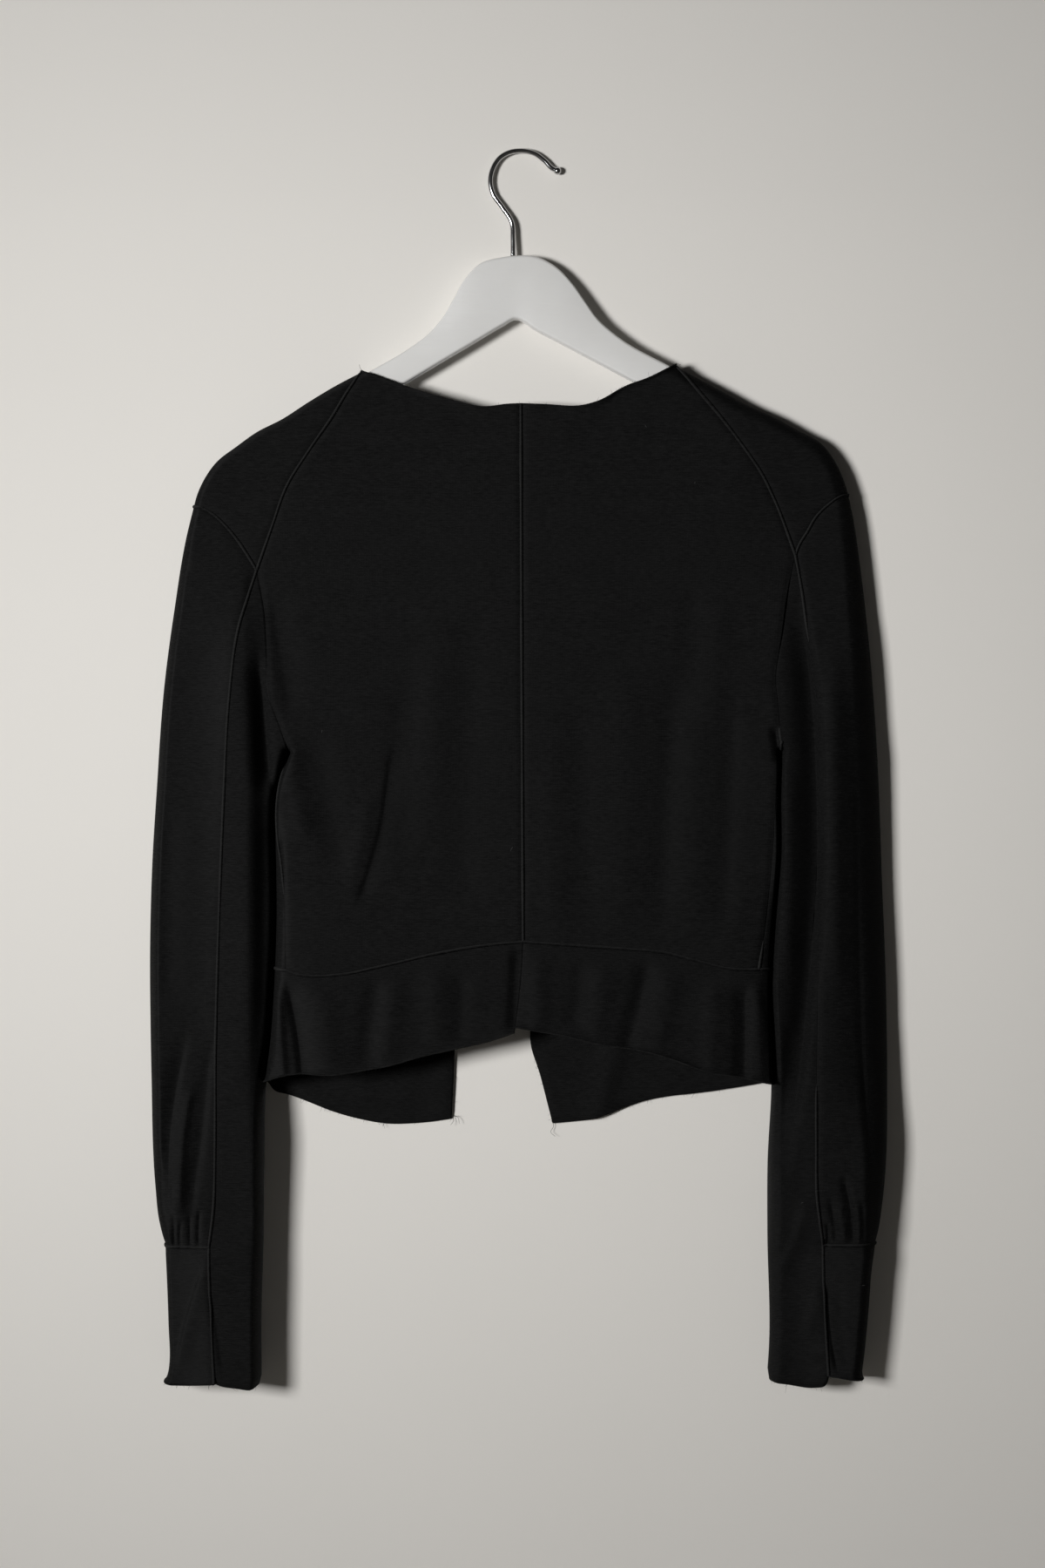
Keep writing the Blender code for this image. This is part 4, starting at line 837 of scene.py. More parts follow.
def curled(grid, sign, edges, sizes):
    """Lift a panel's raw edges along their normals, by the square of the way in to them.

    The lift varies slowly along each edge, and so does the reach of the curl.
    """
    out = grid.copy()
    normal = outward(grid, sign)
    for edge in edges:
        turned = edge in ("left", "right")
        flip = edge in ("bottom", "right")
        view = np.swapaxes(grid, 0, 1) if turned else grid
        view = view[::-1] if flip else view
        way = np.linalg.norm(np.diff(view, axis=0), axis=2)
        run = np.concatenate([np.zeros((1, way.shape[1])), np.cumsum(way, axis=0)])
        at = run_along(view[0])
        uneven = (np.sin(at / CURL_WAVES[0] + CURL_PHASES[0])
                  * np.sin(at / CURL_WAVES[1] + CURL_PHASES[1]))
        reach = sizes.curl_reach * (1 + REACH_UNEVEN * np.sin(at / CURL_WAVES[2]))
        share = np.maximum(1 - run / reach[None], 0) ** 2
        lift = sizes.curl * (1 + CURL_UNEVEN * uneven[None]) * share
        lift = lift[::-1] if flip else lift
        out += normal * (lift.T if turned else lift)[..., None]
    return out


def painted_light_of(mesh, values):
    """Painted light and shade as an attribute of a mesh's points: + is painted lighter, - is painted
    darker.
    """
    nap = mesh.attributes.new("nap", "FLOAT", "POINT")
    nap.data.foreach_set("value", np.ascontiguousarray(values, np.float32).ravel())


def painted_light_from_normal(normal, most):
    """Painted light and shade on cloth: its set strength times the part of its normal that faces
    left, where the key light stands, held between two bounds.  It fades where the cloth turns
    right over and on the side by the wall.
    """
    left = -normal[..., 0]
    over = 1 - smoothstep((left - most - PAINTED_LIGHT_FADE / 2) / PAINTED_LIGHT_FADE)
    return PAINTED_LIGHT * np.clip(left, PAINTED_SHADE_MOST, most) * over * np.clip(-2 * normal[..., 1], 0, 1)


def mesh_piece(name, points, faces, material):
    """A smooth mesh object at the origin that rides on the garment's body."""
    mesh = bpy.data.meshes.new(name)
    mesh.from_pydata(points.reshape(-1, 3).tolist(), [], faces)
    mesh.materials.append(material)
    mesh.shade_smooth()
    obj = bpy.data.objects.new(name, mesh)
    bpy.context.scene.collection.objects.link(obj)
    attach(obj, "root")
    return obj


def grid_faces(rows, columns, loop=False):
    """Four-cornered faces of a grid of points, closed round its columns if it loops."""
    i, j = np.meshgrid(np.arange(rows - 1), np.arange(columns - (not loop)), indexing="ij")
    a = (i * columns + j).ravel()
    b = (i * columns + (j + 1) % columns).ravel()
    return np.stack([a, b, b + columns, a + columns], 1)


def swept(path, normal, width, height, sides):
    """Rings of an ellipse carried along a path, one axis along the normals."""
    tangent = unit(np.gradient(path, axis=0))
    across = unit(np.cross(tangent, normal))
    up = np.cross(across, tangent)
    turn = np.linspace(0, 2 * math.pi, sides, endpoint=False)
    width = np.broadcast_to(width, len(path))[:, None, None] / 2
    height = np.broadcast_to(height, len(path))[:, None, None] / 2
    return (path[:, None] + up[:, None] * np.sin(turn)[None, :, None] * height
            + across[:, None] * np.cos(turn)[None, :, None] * width)


def tube_mesh(rings):
    """Points and faces of a closed tube through rings, its ends filled to their middles."""
    count, sides = rings.shape[:2]
    ends = rings[[0, -1]].mean(axis=1)
    j = np.arange(sides)
    first, last, base = count * sides, count * sides + 1, (count - 1) * sides
    faces = grid_faces(count, sides, loop=True).tolist()
    faces += np.stack([np.full(sides, first), (j + 1) % sides, j], 1).tolist()
    faces += np.stack([np.full(sides, last), base + j, base + (j + 1) % sides], 1).tolist()
    return np.vstack([rings.reshape(-1, 3), ends]), faces


def tubes(name, many, material):
    """One piece made of several closed tubes."""
    points, faces = [], []
    for rings in many:
        start = sum(len(p) for p in points)
        more, corners = tube_mesh(rings)
        points.append(more)
        faces += [[start + k for k in face] for face in corners]
    return mesh_piece(name, np.vstack(points), faces, material)


# ---- sizes and colours that a user would change -----------------------------------------
def length(name, description, default, **more):
    """A length in metres."""
    return FloatProperty(name=name, description=description, default=default,
                         subtype="DISTANCE", unit="LENGTH", precision=5, **more)


def colour(name, description, default):
    """A colour in linear light."""
    return FloatVectorProperty(name=name, description=description, default=default,
                               subtype="COLOR", size=3, min=0.0, max=1.0)


class ClothSizes(PropertyGroup):
    """Sizes of the jersey, its seams and its raw edges."""

    wall: length("Jersey", "Thickness of the jersey", 0.0012)
    waves: length("Slow waves", "Height of the cloth's own slow waves", 0.0003)
    groove: length("Seam groove", "How far a seam draws its cloth in", 0.0005)
    groove_width: length("Groove width", "Half the width of that groove", 0.0026)
    gather_tuck: length("Gather tuck", "How far the gathers tuck in at the cuff", 0.0022)
    cord_width: length("Seam cord", "Width of the raised cord along a seam", 0.0023)
    cord_height: length("Cord height", "Height of that cord, half of it sunk", 0.0020)
    stitch: length("Stitch", "Spacing of the stitches along the cord", 0.0024)
    curl: length("Edge curl", "How far a raw edge lifts", 0.0013)
    curl_reach: length("Curl reach", "Width of the lifted edge", 0.0060)
    fray: length("Fray", "Longest fibre at a raw edge", 0.0026)
    fibre: length("Fibre", "Thickness of a loose fibre", 0.00022)
    fibre_gap: length("Fibre spacing", "Mean distance between fibres at an edge", 0.0036)


class HangerSizes(PropertyGroup):
    """Sizes of the coat hanger."""

    thickness: length("Wood", "Thickness of the hanger's arms", 0.0124)
    corner: length("Corner", "Radius of the board's corners", 0.0024)
    wire: length("Wire", "Diameter of the hook's wire", 0.0035)
    tip: length("Tip", "Radius of the ball at the hook's end", 0.0027)
    arm_sides: IntProperty(name="Arm facets", description="Facets round an arm", default=44)
    wire_sides: IntProperty(name="Wire facets", description="Facets round the wire", default=20)


class Colours(PropertyGroup):
    """Colours of the finishes."""

    # the knit's two tones also carry painted light on cloth that faces left and painted shade on
    # cloth that faces right
    jersey: colour("Jersey", "The knit's darkest tone", (0.0026, 0.0026, 0.0026))
    jersey_worn_and_lit: colour("Jersey light", "The knit's lightest tone", (0.0122, 0.0122, 0.0122))
    # a seam's cord runs from painted shade on its lower right side to painted light on its upper
    # left
    seam: colour("Seam", "The tight knit of a seam's cord", (0.0190, 0.0190, 0.0188))
    seam_painted_shade: colour("Ditch", "The sunk side of a seam", (0.0014, 0.0014, 0.0014))
    lint: colour("Lint", "Specks of fluff on the knit", (0.035, 0.035, 0.034))
    paint: colour("Paint", "The hanger's white paint", (0.66, 0.655, 0.64))
    paint_shade: colour("Paint shade", "Where the paint lies thinner", (0.64, 0.633, 0.615))
    metal: colour("Metal", "The bright hook", (0.52, 0.52, 0.525))
    wall: colour("Wall", "The studio's wall and floor", (0.720, 0.698, 0.660))
    wall_shade: colour("Wall shade", "The wall's darker patches", (0.705, 0.683, 0.645))


class Studio(PropertyGroup):
    """The wall, the floor, the lights and the camera."""

    wall_gap: length("Wall", "Distance of the wall behind the hanger's plane, at its foot", 0.0128)
    wall_tilt: FloatProperty(name="Wall tilt", description="Metres that the wall falls back "
                             "for each metre down", default=0.0088)
    floor_drop: length("Floor", "Depth of the floor below the hook", 1.55)
    distance: length("Camera distance", "From the camera to the hanger's plane", 2.50)
    aim_x: length("Aim across", "Where the camera looks, across", 0.0012)
    aim_z: length("Aim height", "Where the camera looks, up and down", -0.4387)
    seen: length("Height seen", "Height that fills the picture in the hanger's plane", 1.0908)
    key: FloatProperty(name="Key light", description="Power of the light from the left",
                       default=11.2, subtype="POWER", unit="POWER")
    fill: FloatProperty(name="Fill light", description="Power of the light from the right",
                        default=0.5, subtype="POWER", unit="POWER")
    rear: FloatProperty(name="Rear light", description="Power of the light behind",
                        default=16.0, subtype="POWER", unit="POWER")
    sky: FloatProperty(name="Room light", description="Strength of the light all round",
                       default=0.022)


# ---- finishes -----------------------------------------------------------------------------
KNIT_BEND = 0.0011       # how far noise bends the knit's courses and wales
COURSE_DEPTH, WALE_DEPTH = 0.30, 0.14    # their weights in its height
LOOP_TONE, MEAN_TONE = 0.30, 0.42        # how much that height lightens its middle tone
STREAK_RISE = 1.1        # how much a streak stands up
DULLED = 0.86            # the metal's rubbed patches, as a share of its colour
LINT_DARK = 0.6          # the fluff's dark patches, likewise


def set_inputs(tree, node, values):
    """Set a node's inputs, each to a plain value or by a link from another socket."""
    for key, value in values.items():
        if isinstance(value, bpy.types.NodeSocket):
            tree.links.new(value, node.inputs[key])
        else:
            node.inputs[key].default_value = value


def add(tree, kind, inputs=None, **settings):
    """A new node with its settings and inputs."""
    node = tree.nodes.new(kind)
    for key, value in settings.items():
        setattr(node, key, value)
    set_inputs(tree, node, inputs or {})
    return node


def worked(tree, operation, a, b=0.0):
    """A Math node's result."""
    return add(tree, "ShaderNodeMath", {0: a, 1: b}, operation=operation).outputs[0]


def stretched(tree, vector, scale):
    """A vector scaled apart along its axes."""
    return add(tree, "ShaderNodeMapping", {"Vector": vector, "Scale": scale}).outputs[0]


def new_group(name, inputs, outputs):
    """An empty shader node group, its input and output nodes and its tree."""
    tree = bpy.data.node_groups.new(name, "ShaderNodeTree")
    for socket, kind, default in inputs:
        made = tree.interface.new_socket(name=socket, in_out="INPUT", socket_type=kind)
        if default is not None:
            made.default_value = default
    for socket, kind in outputs:
        tree.interface.new_socket(name=socket, in_out="OUTPUT", socket_type=kind)
    return tree, tree.nodes.new("NodeGroupInput"), tree.nodes.new("NodeGroupOutput")


def uneven_finish():
    """A group: soft patches of a finish, as a mask between a low and a high value."""
    if "uneven_finish" in bpy.data.node_groups:
        return bpy.data.node_groups["uneven_finish"]
    tree, given, made = new_group(
        "uneven_finish",
        (("Vector", "NodeSocketVector", None), ("Scale", "NodeSocketFloat", 10.0),
         ("Detail", "NodeSocketFloat", 4.0), ("Low", "NodeSocketFloat", 0.0),
         ("High", "NodeSocketFloat", 1.0)),
        (("Value", "NodeSocketFloat"),),
    )
    noise = add(tree, "ShaderNodeTexNoise", {
        "Vector": given.outputs["Vector"], "Scale": given.outputs["Scale"],
        "Detail": given.outputs["Detail"], "Roughness": 0.6,
    })
    spread = add(tree, "ShaderNodeMapRange", {
        "Value": noise.outputs["Fac"], "From Min": 0.28, "From Max": 0.72,
        "To Min": given.outputs["Low"], "To Max": given.outputs["High"],
    })
    tree.links.new(spread.outputs["Result"], made.inputs["Value"])
    return tree


def patches(tree, vector, scale, low=0.0, high=1.0, detail=4.0):
    """The uneven finish placed in a material."""
    node = tree.nodes.new("ShaderNodeGroup")
    node.node_tree = uneven_finish()
    values = {"Vector": vector, "Scale": scale, "Detail": detail, "Low": low, "High": high}
    set_inputs(tree, node, values)
    return node.outputs["Value"]


def fine_knit():
    """A group: courses and wales of a fine jersey, as a tone between 0 and 1 and a height.

    The courses are a sine wave of the height, the wales one of the run across the cloth,
    both bent a little by noise.  Flat streaks of noise give the yarn's uneven colour.
    """
    if "fine_knit" in bpy.data.node_groups:
        return bpy.data.node_groups["fine_knit"]
    tree, given, made = new_group(
        "fine_knit",
        (("Vector", "NodeSocketVector", None), ("Run", "NodeSocketFloat", 0.0),
         ("Course", "NodeSocketFloat", 0.00115), ("Wale", "NodeSocketFloat", 0.0009),
         ("Streaks", "NodeSocketFloat", 1.30), ("Patches", "NodeSocketFloat", 0.26)),
        (("Tone", "NodeSocketFloat"), ("Height", "NodeSocketFloat")),
    )
    vector = given.outputs["Vector"]
    height = add(tree, "ShaderNodeSeparateXYZ", {"Vector": vector}).outputs["Z"]
    bend = add(tree, "ShaderNodeTexNoise", {"Vector": vector, "Scale": 90.0, "Detail": 2.0})
    bend = worked(tree, "MULTIPLY", bend.outputs["Fac"], KNIT_BEND)
    turns = []
    for along_it, pitch in ((height, "Course"), (given.outputs["Run"], "Wale")):
        bent = worked(tree, "ADD", along_it, bend)
        count = worked(tree, "DIVIDE", bent, given.outputs[pitch])
        turns.append(worked(tree, "SINE", worked(tree, "MULTIPLY", count, 2 * math.pi)))
    loops = worked(tree, "ADD", worked(tree, "MULTIPLY", turns[0], COURSE_DEPTH),
                   worked(tree, "MULTIPLY", turns[1], WALE_DEPTH))
    streak = add(tree, "ShaderNodeTexNoise", {
        "Vector": stretched(tree, vector, (1.0, 1.0, 5.0)), "Scale": 230.0,
        "Detail": 3.0, "Roughness": 0.65,
    }).outputs["Fac"]
    patch = add(tree, "ShaderNodeTexNoise", {
        "Vector": stretched(tree, vector, (1.0, 1.0, 1.8)), "Scale": 46.0, "Detail": 5.0,
        "Roughness": 0.62,
    }).outputs["Fac"]
    streak = worked(tree, "SUBTRACT", streak, 0.5)
    patch = worked(tree, "SUBTRACT", patch, 0.5)
    tone = worked(tree, "ADD", worked(tree, "MULTIPLY", loops, LOOP_TONE), MEAN_TONE)
    tone = worked(tree, "ADD", tone, worked(tree, "MULTIPLY", streak, given.outputs["Streaks"]))
    tone = worked(tree, "ADD", tone, worked(tree, "MULTIPLY", patch, given.outputs["Patches"]))
    tone = add(tree, "ShaderNodeClamp", {"Value": tone}).outputs["Result"]
    rise = worked(tree, "ADD", loops, worked(tree, "MULTIPLY", streak, STREAK_RISE))
    tree.links.new(tone, made.inputs["Tone"])
    tree.links.new(rise, made.inputs["Height"])
    return tree


def new_material(name):
    """An empty material, its tree, its shader and its Object coordinates."""
    made = bpy.data.materials.new(name)
    made.use_nodes = True
    tree = made.node_tree
    vector = add(tree, "ShaderNodeTexCoord").outputs["Object"]
    return made, tree, tree.nodes["Principled BSDF"], vector


def mixed(tree, factor, low, high):
    """A colour between two others."""
    colours = {"Factor": factor, "A": (*low, 1.0), "B": (*high, 1.0)}
    return add(tree, "ShaderNodeMix", colours, data_type="RGBA").outputs["Result"]


def raised(tree, shader, height, strength, distance):
    """A bump on a shader's normal."""
    bump = add(tree, "ShaderNodeBump", {
        "Height": height, "Strength": strength, "Distance": distance,
    })
    tree.links.new(bump.outputs["Normal"], shader.inputs["Normal"])


def jersey(context, name="jersey_knit"):
    """Near-black fine jersey, a little lighter where the yarn is raised or rubbed, with painted
    light on cloth that faces left and painted shade on cloth that faces right.

    A seam's cord is the same knit between the colours of its painted shade and painted light.
    """
    if name in bpy.data.materials:
        return bpy.data.materials[name]
    colours = context.scene.cardigan_colours
    low, high = colours.jersey, colours.jersey_worn_and_lit
    if name == "jersey_seam":
        low, high = colours.seam_painted_shade, colours.seam
    made, tree, shader, vector = new_material(name)
    run = add(tree, "ShaderNodeUVMap", uv_map="cloth").outputs["UV"]
    run = add(tree, "ShaderNodeSeparateXYZ", {"Vector": run}).outputs["X"]
    knit = tree.nodes.new("ShaderNodeGroup")
    knit.node_tree = fine_knit()
    set_inputs(tree, knit, {"Vector": vector, "Run": run})
    # painted light and shade, read from the mesh, lighten cloth that faces left and darken cloth
    # that faces right
    nap = add(tree, "ShaderNodeAttribute", attribute_name="nap").outputs["Fac"]
    tone = worked(tree, "ADD", knit.outputs["Tone"], nap)
    tone = add(tree, "ShaderNodeClamp", {"Value": tone}).outputs["Result"]
    set_inputs(tree, shader, {
        "Base Color": mixed(tree, tone, low, high), "Roughness": 0.86,
        "Specular IOR Level": 0.04, "Sheen Weight": 0.008, "Sheen Roughness": 0.42,
        "Sheen Tint": (0.75, 0.76, 0.78, 1.0),
    })
    raised(tree, shader, knit.outputs["Height"], 0.55, 0.0004)
    return made


def white_paint(context):
    """White paint over wood: brushed along the arms, thinner in soft patches."""
    colours = context.scene.cardigan_colours
    made, tree, shader, vector = new_material("white_paint")
    set_inputs(tree, shader, {
        "Base Color": mixed(tree, patches(tree, vector, 30.0), colours.paint_shade,
                            colours.paint),
        "Roughness": patches(tree, vector, 75.0, 0.30, 0.46), "Coat Weight": 0.25,
        "Coat Roughness": 0.22,
    })
    brushed = stretched(tree, vector, (0.06, 1.0, 1.0))
    raised(tree, shader, patches(tree, brushed, 900.0, detail=2.0), 0.12, 0.0004)
    return made


def bright_metal(context):
    """Bright plated wire with faint rubbed patches."""
    metal = context.scene.cardigan_colours.metal
    made, tree, shader, vector = new_material("bright_metal")
    rubbed = patches(tree, vector, 160.0)
    set_inputs(tree, shader, {
        "Base Color": mixed(tree, rubbed, [DULLED * c for c in metal], metal),
        "Metallic": 1.0, "Roughness": patches(tree, vector, 240.0, 0.10, 0.18),
    })
    raised(tree, shader, patches(tree, vector, 1400.0, detail=2.0), 0.02, 0.0002)
    return made


def lint_fluff(context):
    """Pale matt fluff."""
    lint = context.scene.cardigan_colours.lint
    made, tree, shader, vector = new_material("lint_fluff")
    shade = mixed(tree, patches(tree, vector, 500.0), [LINT_DARK * c for c in lint], lint)
    set_inputs(tree, shader, {"Base Color": shade, "Roughness": 0.95})
    return made


def studio_plaster(context, name, one_sided):
    """Pale plaster with faint patches; the wall is clear from behind and to shadows."""
    colours = context.scene.cardigan_colours
    made, tree, shader, vector = new_material(name)
    shade = mixed(tree, patches(tree, vector, 2.2, detail=6.0), colours.wall_shade,
                  colours.wall)
    set_inputs(tree, shader, {
        "Base Color": shade, "Roughness": 0.9, "Specular IOR Level": 0.2,
    })
    raised(tree, shader, patches(tree, vector, 420.0, detail=3.0), 0.06, 0.0004)
    if one_sided:
        behind = add(tree, "ShaderNodeNewGeometry").outputs["Backfacing"]
        shadow = add(tree, "ShaderNodeLightPath").outputs["Is Shadow Ray"]
        glass = add(tree, "ShaderNodeBsdfTransparent")
        both = add(tree, "ShaderNodeMixShader", {
            0: worked(tree, "MAXIMUM", behind, shadow), 1: shader.outputs[0],
            2: glass.outputs[0],
        })
        set_inputs(tree, tree.nodes["Material Output"], {"Surface": both.outputs[0]})
    return made


# ---- the cloth's pieces -------------------------------------------------------------------
GRIDS = {}               # each panel's finished grid, for the seams and edges that follow it

# panel: which form it lies on, how it is made, its raw edges, how it is held, and the
# cut's width, length and area in metres
PANELS = {
    "back_panel": ("body", back_panel, ("top",), "hung", (0.186, 0.400), 0.0610),
    "front_panel": ("body", front_panel, ("right",), "hung", (0.160, 0.420), 0.0460),
    "hem_band": ("body", hem_band, ("bottom", "right"), "hung", (0.310, 0.090), 0.0262),
    "shoulder_cap": ("sleeve", shoulder_cap, (), "hung", (0.140, 0.170), 0.0150),
    "sleeve_upper": ("sleeve", sleeve_upper, (), "gathered", (0.125, 0.520), 0.0560),
    "sleeve_under": ("sleeve", sleeve_under, ("bottom",), "hung", (0.090, 0.600), 0.0400),
    "cuff": ("sleeve", cuff, ("bottom",), "hung", (0.086, 0.102), 0.0080),
}
SIDES = (("left", LEFT, LEFT_BODY_FOLDS, LEFT_SLEEVE_FOLDS),
         ("right", RIGHT, RIGHT_BODY_FOLDS, RIGHT_SLEEVE_FOLDS))


def cloth(context, kind):
    """Both panels of a kind: a grid on the shared form, given its thickness by a wall."""
    sizes = context.scene.cardigan_cloth
    part, shape, raw, held, flat, area = PANELS[kind]
    for side, tables, body_folds, sleeve_folds in SIDES:
        form = Form(tables, part, body_folds if part == "body" else sleeve_folds, sizes)
        grid = curled(shape(form), form.sign, raw, sizes)
        GRIDS[f"{kind}_{side}"] = grid
        faces = grid_faces(*grid.shape[:2])[:, ::-form.sign].tolist()
        obj = mesh_piece(f"{kind}_{side}_cloth", grid, faces, jersey(context))
        run_across(obj.data, grid)
        # painted light on cloth that faces left and painted shade on cloth that faces right, with
        # extra painted light on the low part of some pieces
        nap = painted_light_from_normal(outward(grid, form.sign), PAINTED_LIGHT_MOST[side])
        low = smoothstep((EXTRA_LIGHT_TOP - grid[..., 2]) / EXTRA_LIGHT_FADE)
        painted_light_of(obj.data, nap + EXTRA_PAINTED_LIGHT.get((kind, side), 0) * low)
        wall = obj.modifiers.new("wall", "SOLIDIFY")
        wall.thickness = sizes.wall
        wall.offset = 0.0
        wall.use_quality_normals = True
        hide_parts(f"{kind}_{side}")
    return {"FINISHED"}


def run_across(mesh, grid):
    """A UV map in metres: the length run across the cloth, and the height."""
    step = np.linalg.norm(np.diff(grid, axis=1), axis=2)
    run = np.concatenate([np.zeros((len(grid), 1)), np.cumsum(step, axis=1)], axis=1)
    flat = np.stack([run, grid[..., 2]], -1).reshape(-1, 2)
    corner = np.empty(len(mesh.loops), int)
    mesh.loops.foreach_get("vertex_index", corner)
    mesh.uv_layers.new(name="cloth").data.foreach_set("uv", flat[corner].ravel())


# ---- seams ----------------------------------------------------------------------------------
# seam: the borders it follows, each a panel and one side of its grid
SEAMS = {
    "centre_back": (("back_panel", "left"),),
    "raglan_back": (("shoulder_cap", "left"),),
    "raglan_front": (("shoulder_cap", "right"),),
    "armhole": (("sleeve_upper", "top"),),
    "sleeve_back": (("sleeve_upper", "left"), ("cuff", "left")),
    "sleeve_front": (("sleeve_upper", "right"), ("cuff", "right")),
    "underarm": (("sleeve_under", "top"),),
    "gather": (("cuff", "top"),),
    "side": (("front_panel", "side"),),
    "band": (("hem_band", "top"),),
    "rolled_neck": (("back_panel", "top"),),
    "rolled_front": (("front_panel", "right"), ("hem_band", "right")),
    "rolled_hem": (("hem_band", "bottom"),),
    "rolled_cuff": (("cuff", "bottom"),),
    "rolled_under_cuff": (("sleeve_under", "bottom"),),
}
# cords that are finer than the others: seams of the front, and edges that roll over
CORD_SCALES = {"raglan_front": 0.45, "sleeve_front": 0.45, "rolled_neck": 0.5,
               "rolled_front": 0.4, "rolled_hem": 0.6, "rolled_cuff": 0.55,
               "rolled_under_cuff": 0.55}


def row_at(grid, edge, inside=0):
    """The row or column of a grid that lies along one side of it, or so many further in."""
    return {
        "top": grid[inside], "bottom": grid[-1 - inside], "left": grid[:, inside],
        "right": grid[:, -1 - inside], "side": grid[RAGLAN_ROWS + UNDERARM_ROWS:, inside],
    }[edge]


# where a seam sinks out of sight in a fold: its name, then the heights between
SUNK = {"sleeve_back_right": (-0.325, -0.660), "side_right": (-0.420, -0.560),
        "side_left": (-0.500, -0.700)}
NOT_SUNK = (-9.0, -9.1)
SUNK_FADE = 0.025        # over this height it sinks
SUNK_DEPTH, SUNK_THIN = 0.45, 0.6   # by this share of the cord's height, and thinner
STITCH_RINGS = 2.5       # rings of the cord for each stitch
LEAST_RINGS = 12
STITCH_SWELL = (0.10, 0.08)   # shares by which a stitch swells its width and height
SLOW_SWELL = (0.14, 0.10)     # the same for slow swells along the seam
SLOW_WAVES = (0.0130, 0.0310)   # and the lengths of their two sine waves
CORD_SIDES = 8
SEAM_PAINTED_LIGHT = (-0.95, -0.05, 0.55)   # the side of a seam's cord that gets painted light, up and to the left, towards the key light
ROLLED_TONE = 0.05        # and how light the rolled edges are, one even tone with no painted light or shade


def seam_cord(name, borders, side, sign, sizes):
    """The cord raised along a seam: an ellipse carried along the borders it follows.

    Its width swells and narrows by a small sine wave at the stitches' spacing, and it
    stands on the cloth's outer face.  Also its painted light and shade: painted lighter on the
    side of the ellipse that lies up and to the left, towards the key light, and painted
    darker on the other.
    """
    points, normals = [], []
    for panel, edge in borders:
        grid = GRIDS[f"{panel}_{side}"]
        first = int(len(points) > 0)
        points.append(row_at(grid, edge)[first:])
        normals.append(row_at(outward(grid, sign), edge)[first:])
    points, normals = np.vstack(points), np.vstack(normals)
    run = lengths(points)
    size = stretches(points).sum()
    share = np.linspace(0, 1, max(int(size / sizes.stitch * STITCH_RINGS), LEAST_RINGS))
    path = read_at(share, run, points)
    normal = read_at(share, run, normals)
    normal /= np.linalg.norm(normal, axis=1, keepdims=True)
    stitch = np.sin(2 * math.pi * share * size / sizes.stitch)
    slow = (np.sin(share * size / SLOW_WAVES[0] + len(name))
            * np.sin(share * size / SLOW_WAVES[1]))
    upper, lower = SUNK.get(f"{name}_{side}", NOT_SUNK)
    sunk = (smoothstep((upper - path[:, 2]) / SUNK_FADE)
            * smoothstep((path[:, 2] - lower) / SUNK_FADE))
    lift = sizes.wall / 2 - sunk * sizes.cord_height * SUNK_DEPTH
    width, height = (
        CORD_SCALES.get(name, 1.0) * whole * (1 + swell * stitch + slower * slow)
        * (1 - SUNK_THIN * sunk)
        for whole, swell, slower in zip((sizes.cord_width, sizes.cord_height),
                                        STITCH_SWELL, SLOW_SWELL)
    )
    rings = swept(path + normal * lift[:, None], normal, width, height, CORD_SIDES)
    # painted light on the cord's upper left side and painted shade on its lower right; rolled edges
    # get one even tone
    spoke = unit(rings - rings.mean(axis=1, keepdims=True))
    nap = spoke @ np.array(SEAM_PAINTED_LIGHT)
    if name.startswith("rolled"):
        nap = np.full(rings.shape[:2], ROLLED_TONE)
    return rings, np.concatenate([nap.ravel(), [0.0, 0.0]])


def seams(context):
    """Every seam's cord, on both sides of the garment."""
    if len(GRIDS) < 2 * len(PANELS):
        raise RuntimeError("the seams follow the panels, which are built first")
    sizes = context.scene.cardigan_cloth
    for side, tables, *_ in SIDES:
        for name, borders in SEAMS.items():
            middle = name == "centre_back"
            if middle and side == "right":
                continue
            rings, nap = seam_cord(name, borders, side, tables["sign"], sizes)
            label = f"seam_{name}" if middle else f"seam_{name}_{side}"
            obj = tubes(label, [rings], jersey(context, "jersey_seam"))
            obj.data.uv_layers.new(name="cloth")
            painted_light_of(obj.data, nap)
    return {"FINISHED"}


# ---- raw edges --------------------------------------------------------------------------------
FRAY_SEED = 23
FIBRE_LEAST = 0.25       # root of the least share of the longest fibre's length
FIBRE_STRAY = 0.45       # how far a fibre strays from straight out, as a share of it
FIBRE_TAPER = 0.6        # share of its thickness lost at the tip
FIBRE_RINGS = 5
OFF_AXIS = (0.3, -1.0, 0.2)   # a way that no fibre runs in, to set its section square
THREAD_THICK = 1.5       # a loose thread's thickness in fibres
THREAD_TIP = 0.6         # share of it left at its end
THREAD_SWAY = 0.0012     # how far it sways to and from the wall
THREAD_SWING = 5         # radians of that sway from end to end
OFF_THREAD = (0.2, -1.0, 0.1)   # a way that no thread runs in
# loose threads, in mm: layer, then the points down each thread in x and z
THREADS = (
    (FRONT, (21.5, -674), (23, -678), (21, -682), (24, -685)),
    (FRONT, (-48.6, -670), (-47, -674), (-49, -677)),
    (FRONT, (-46.0, -671), (-44, -672), (-43, -676)),
    (BACK, (-108, -153), (-111, -151), (-112, -148)),
    (BACK, (105, -149), (107, -147), (111, -148)),
)


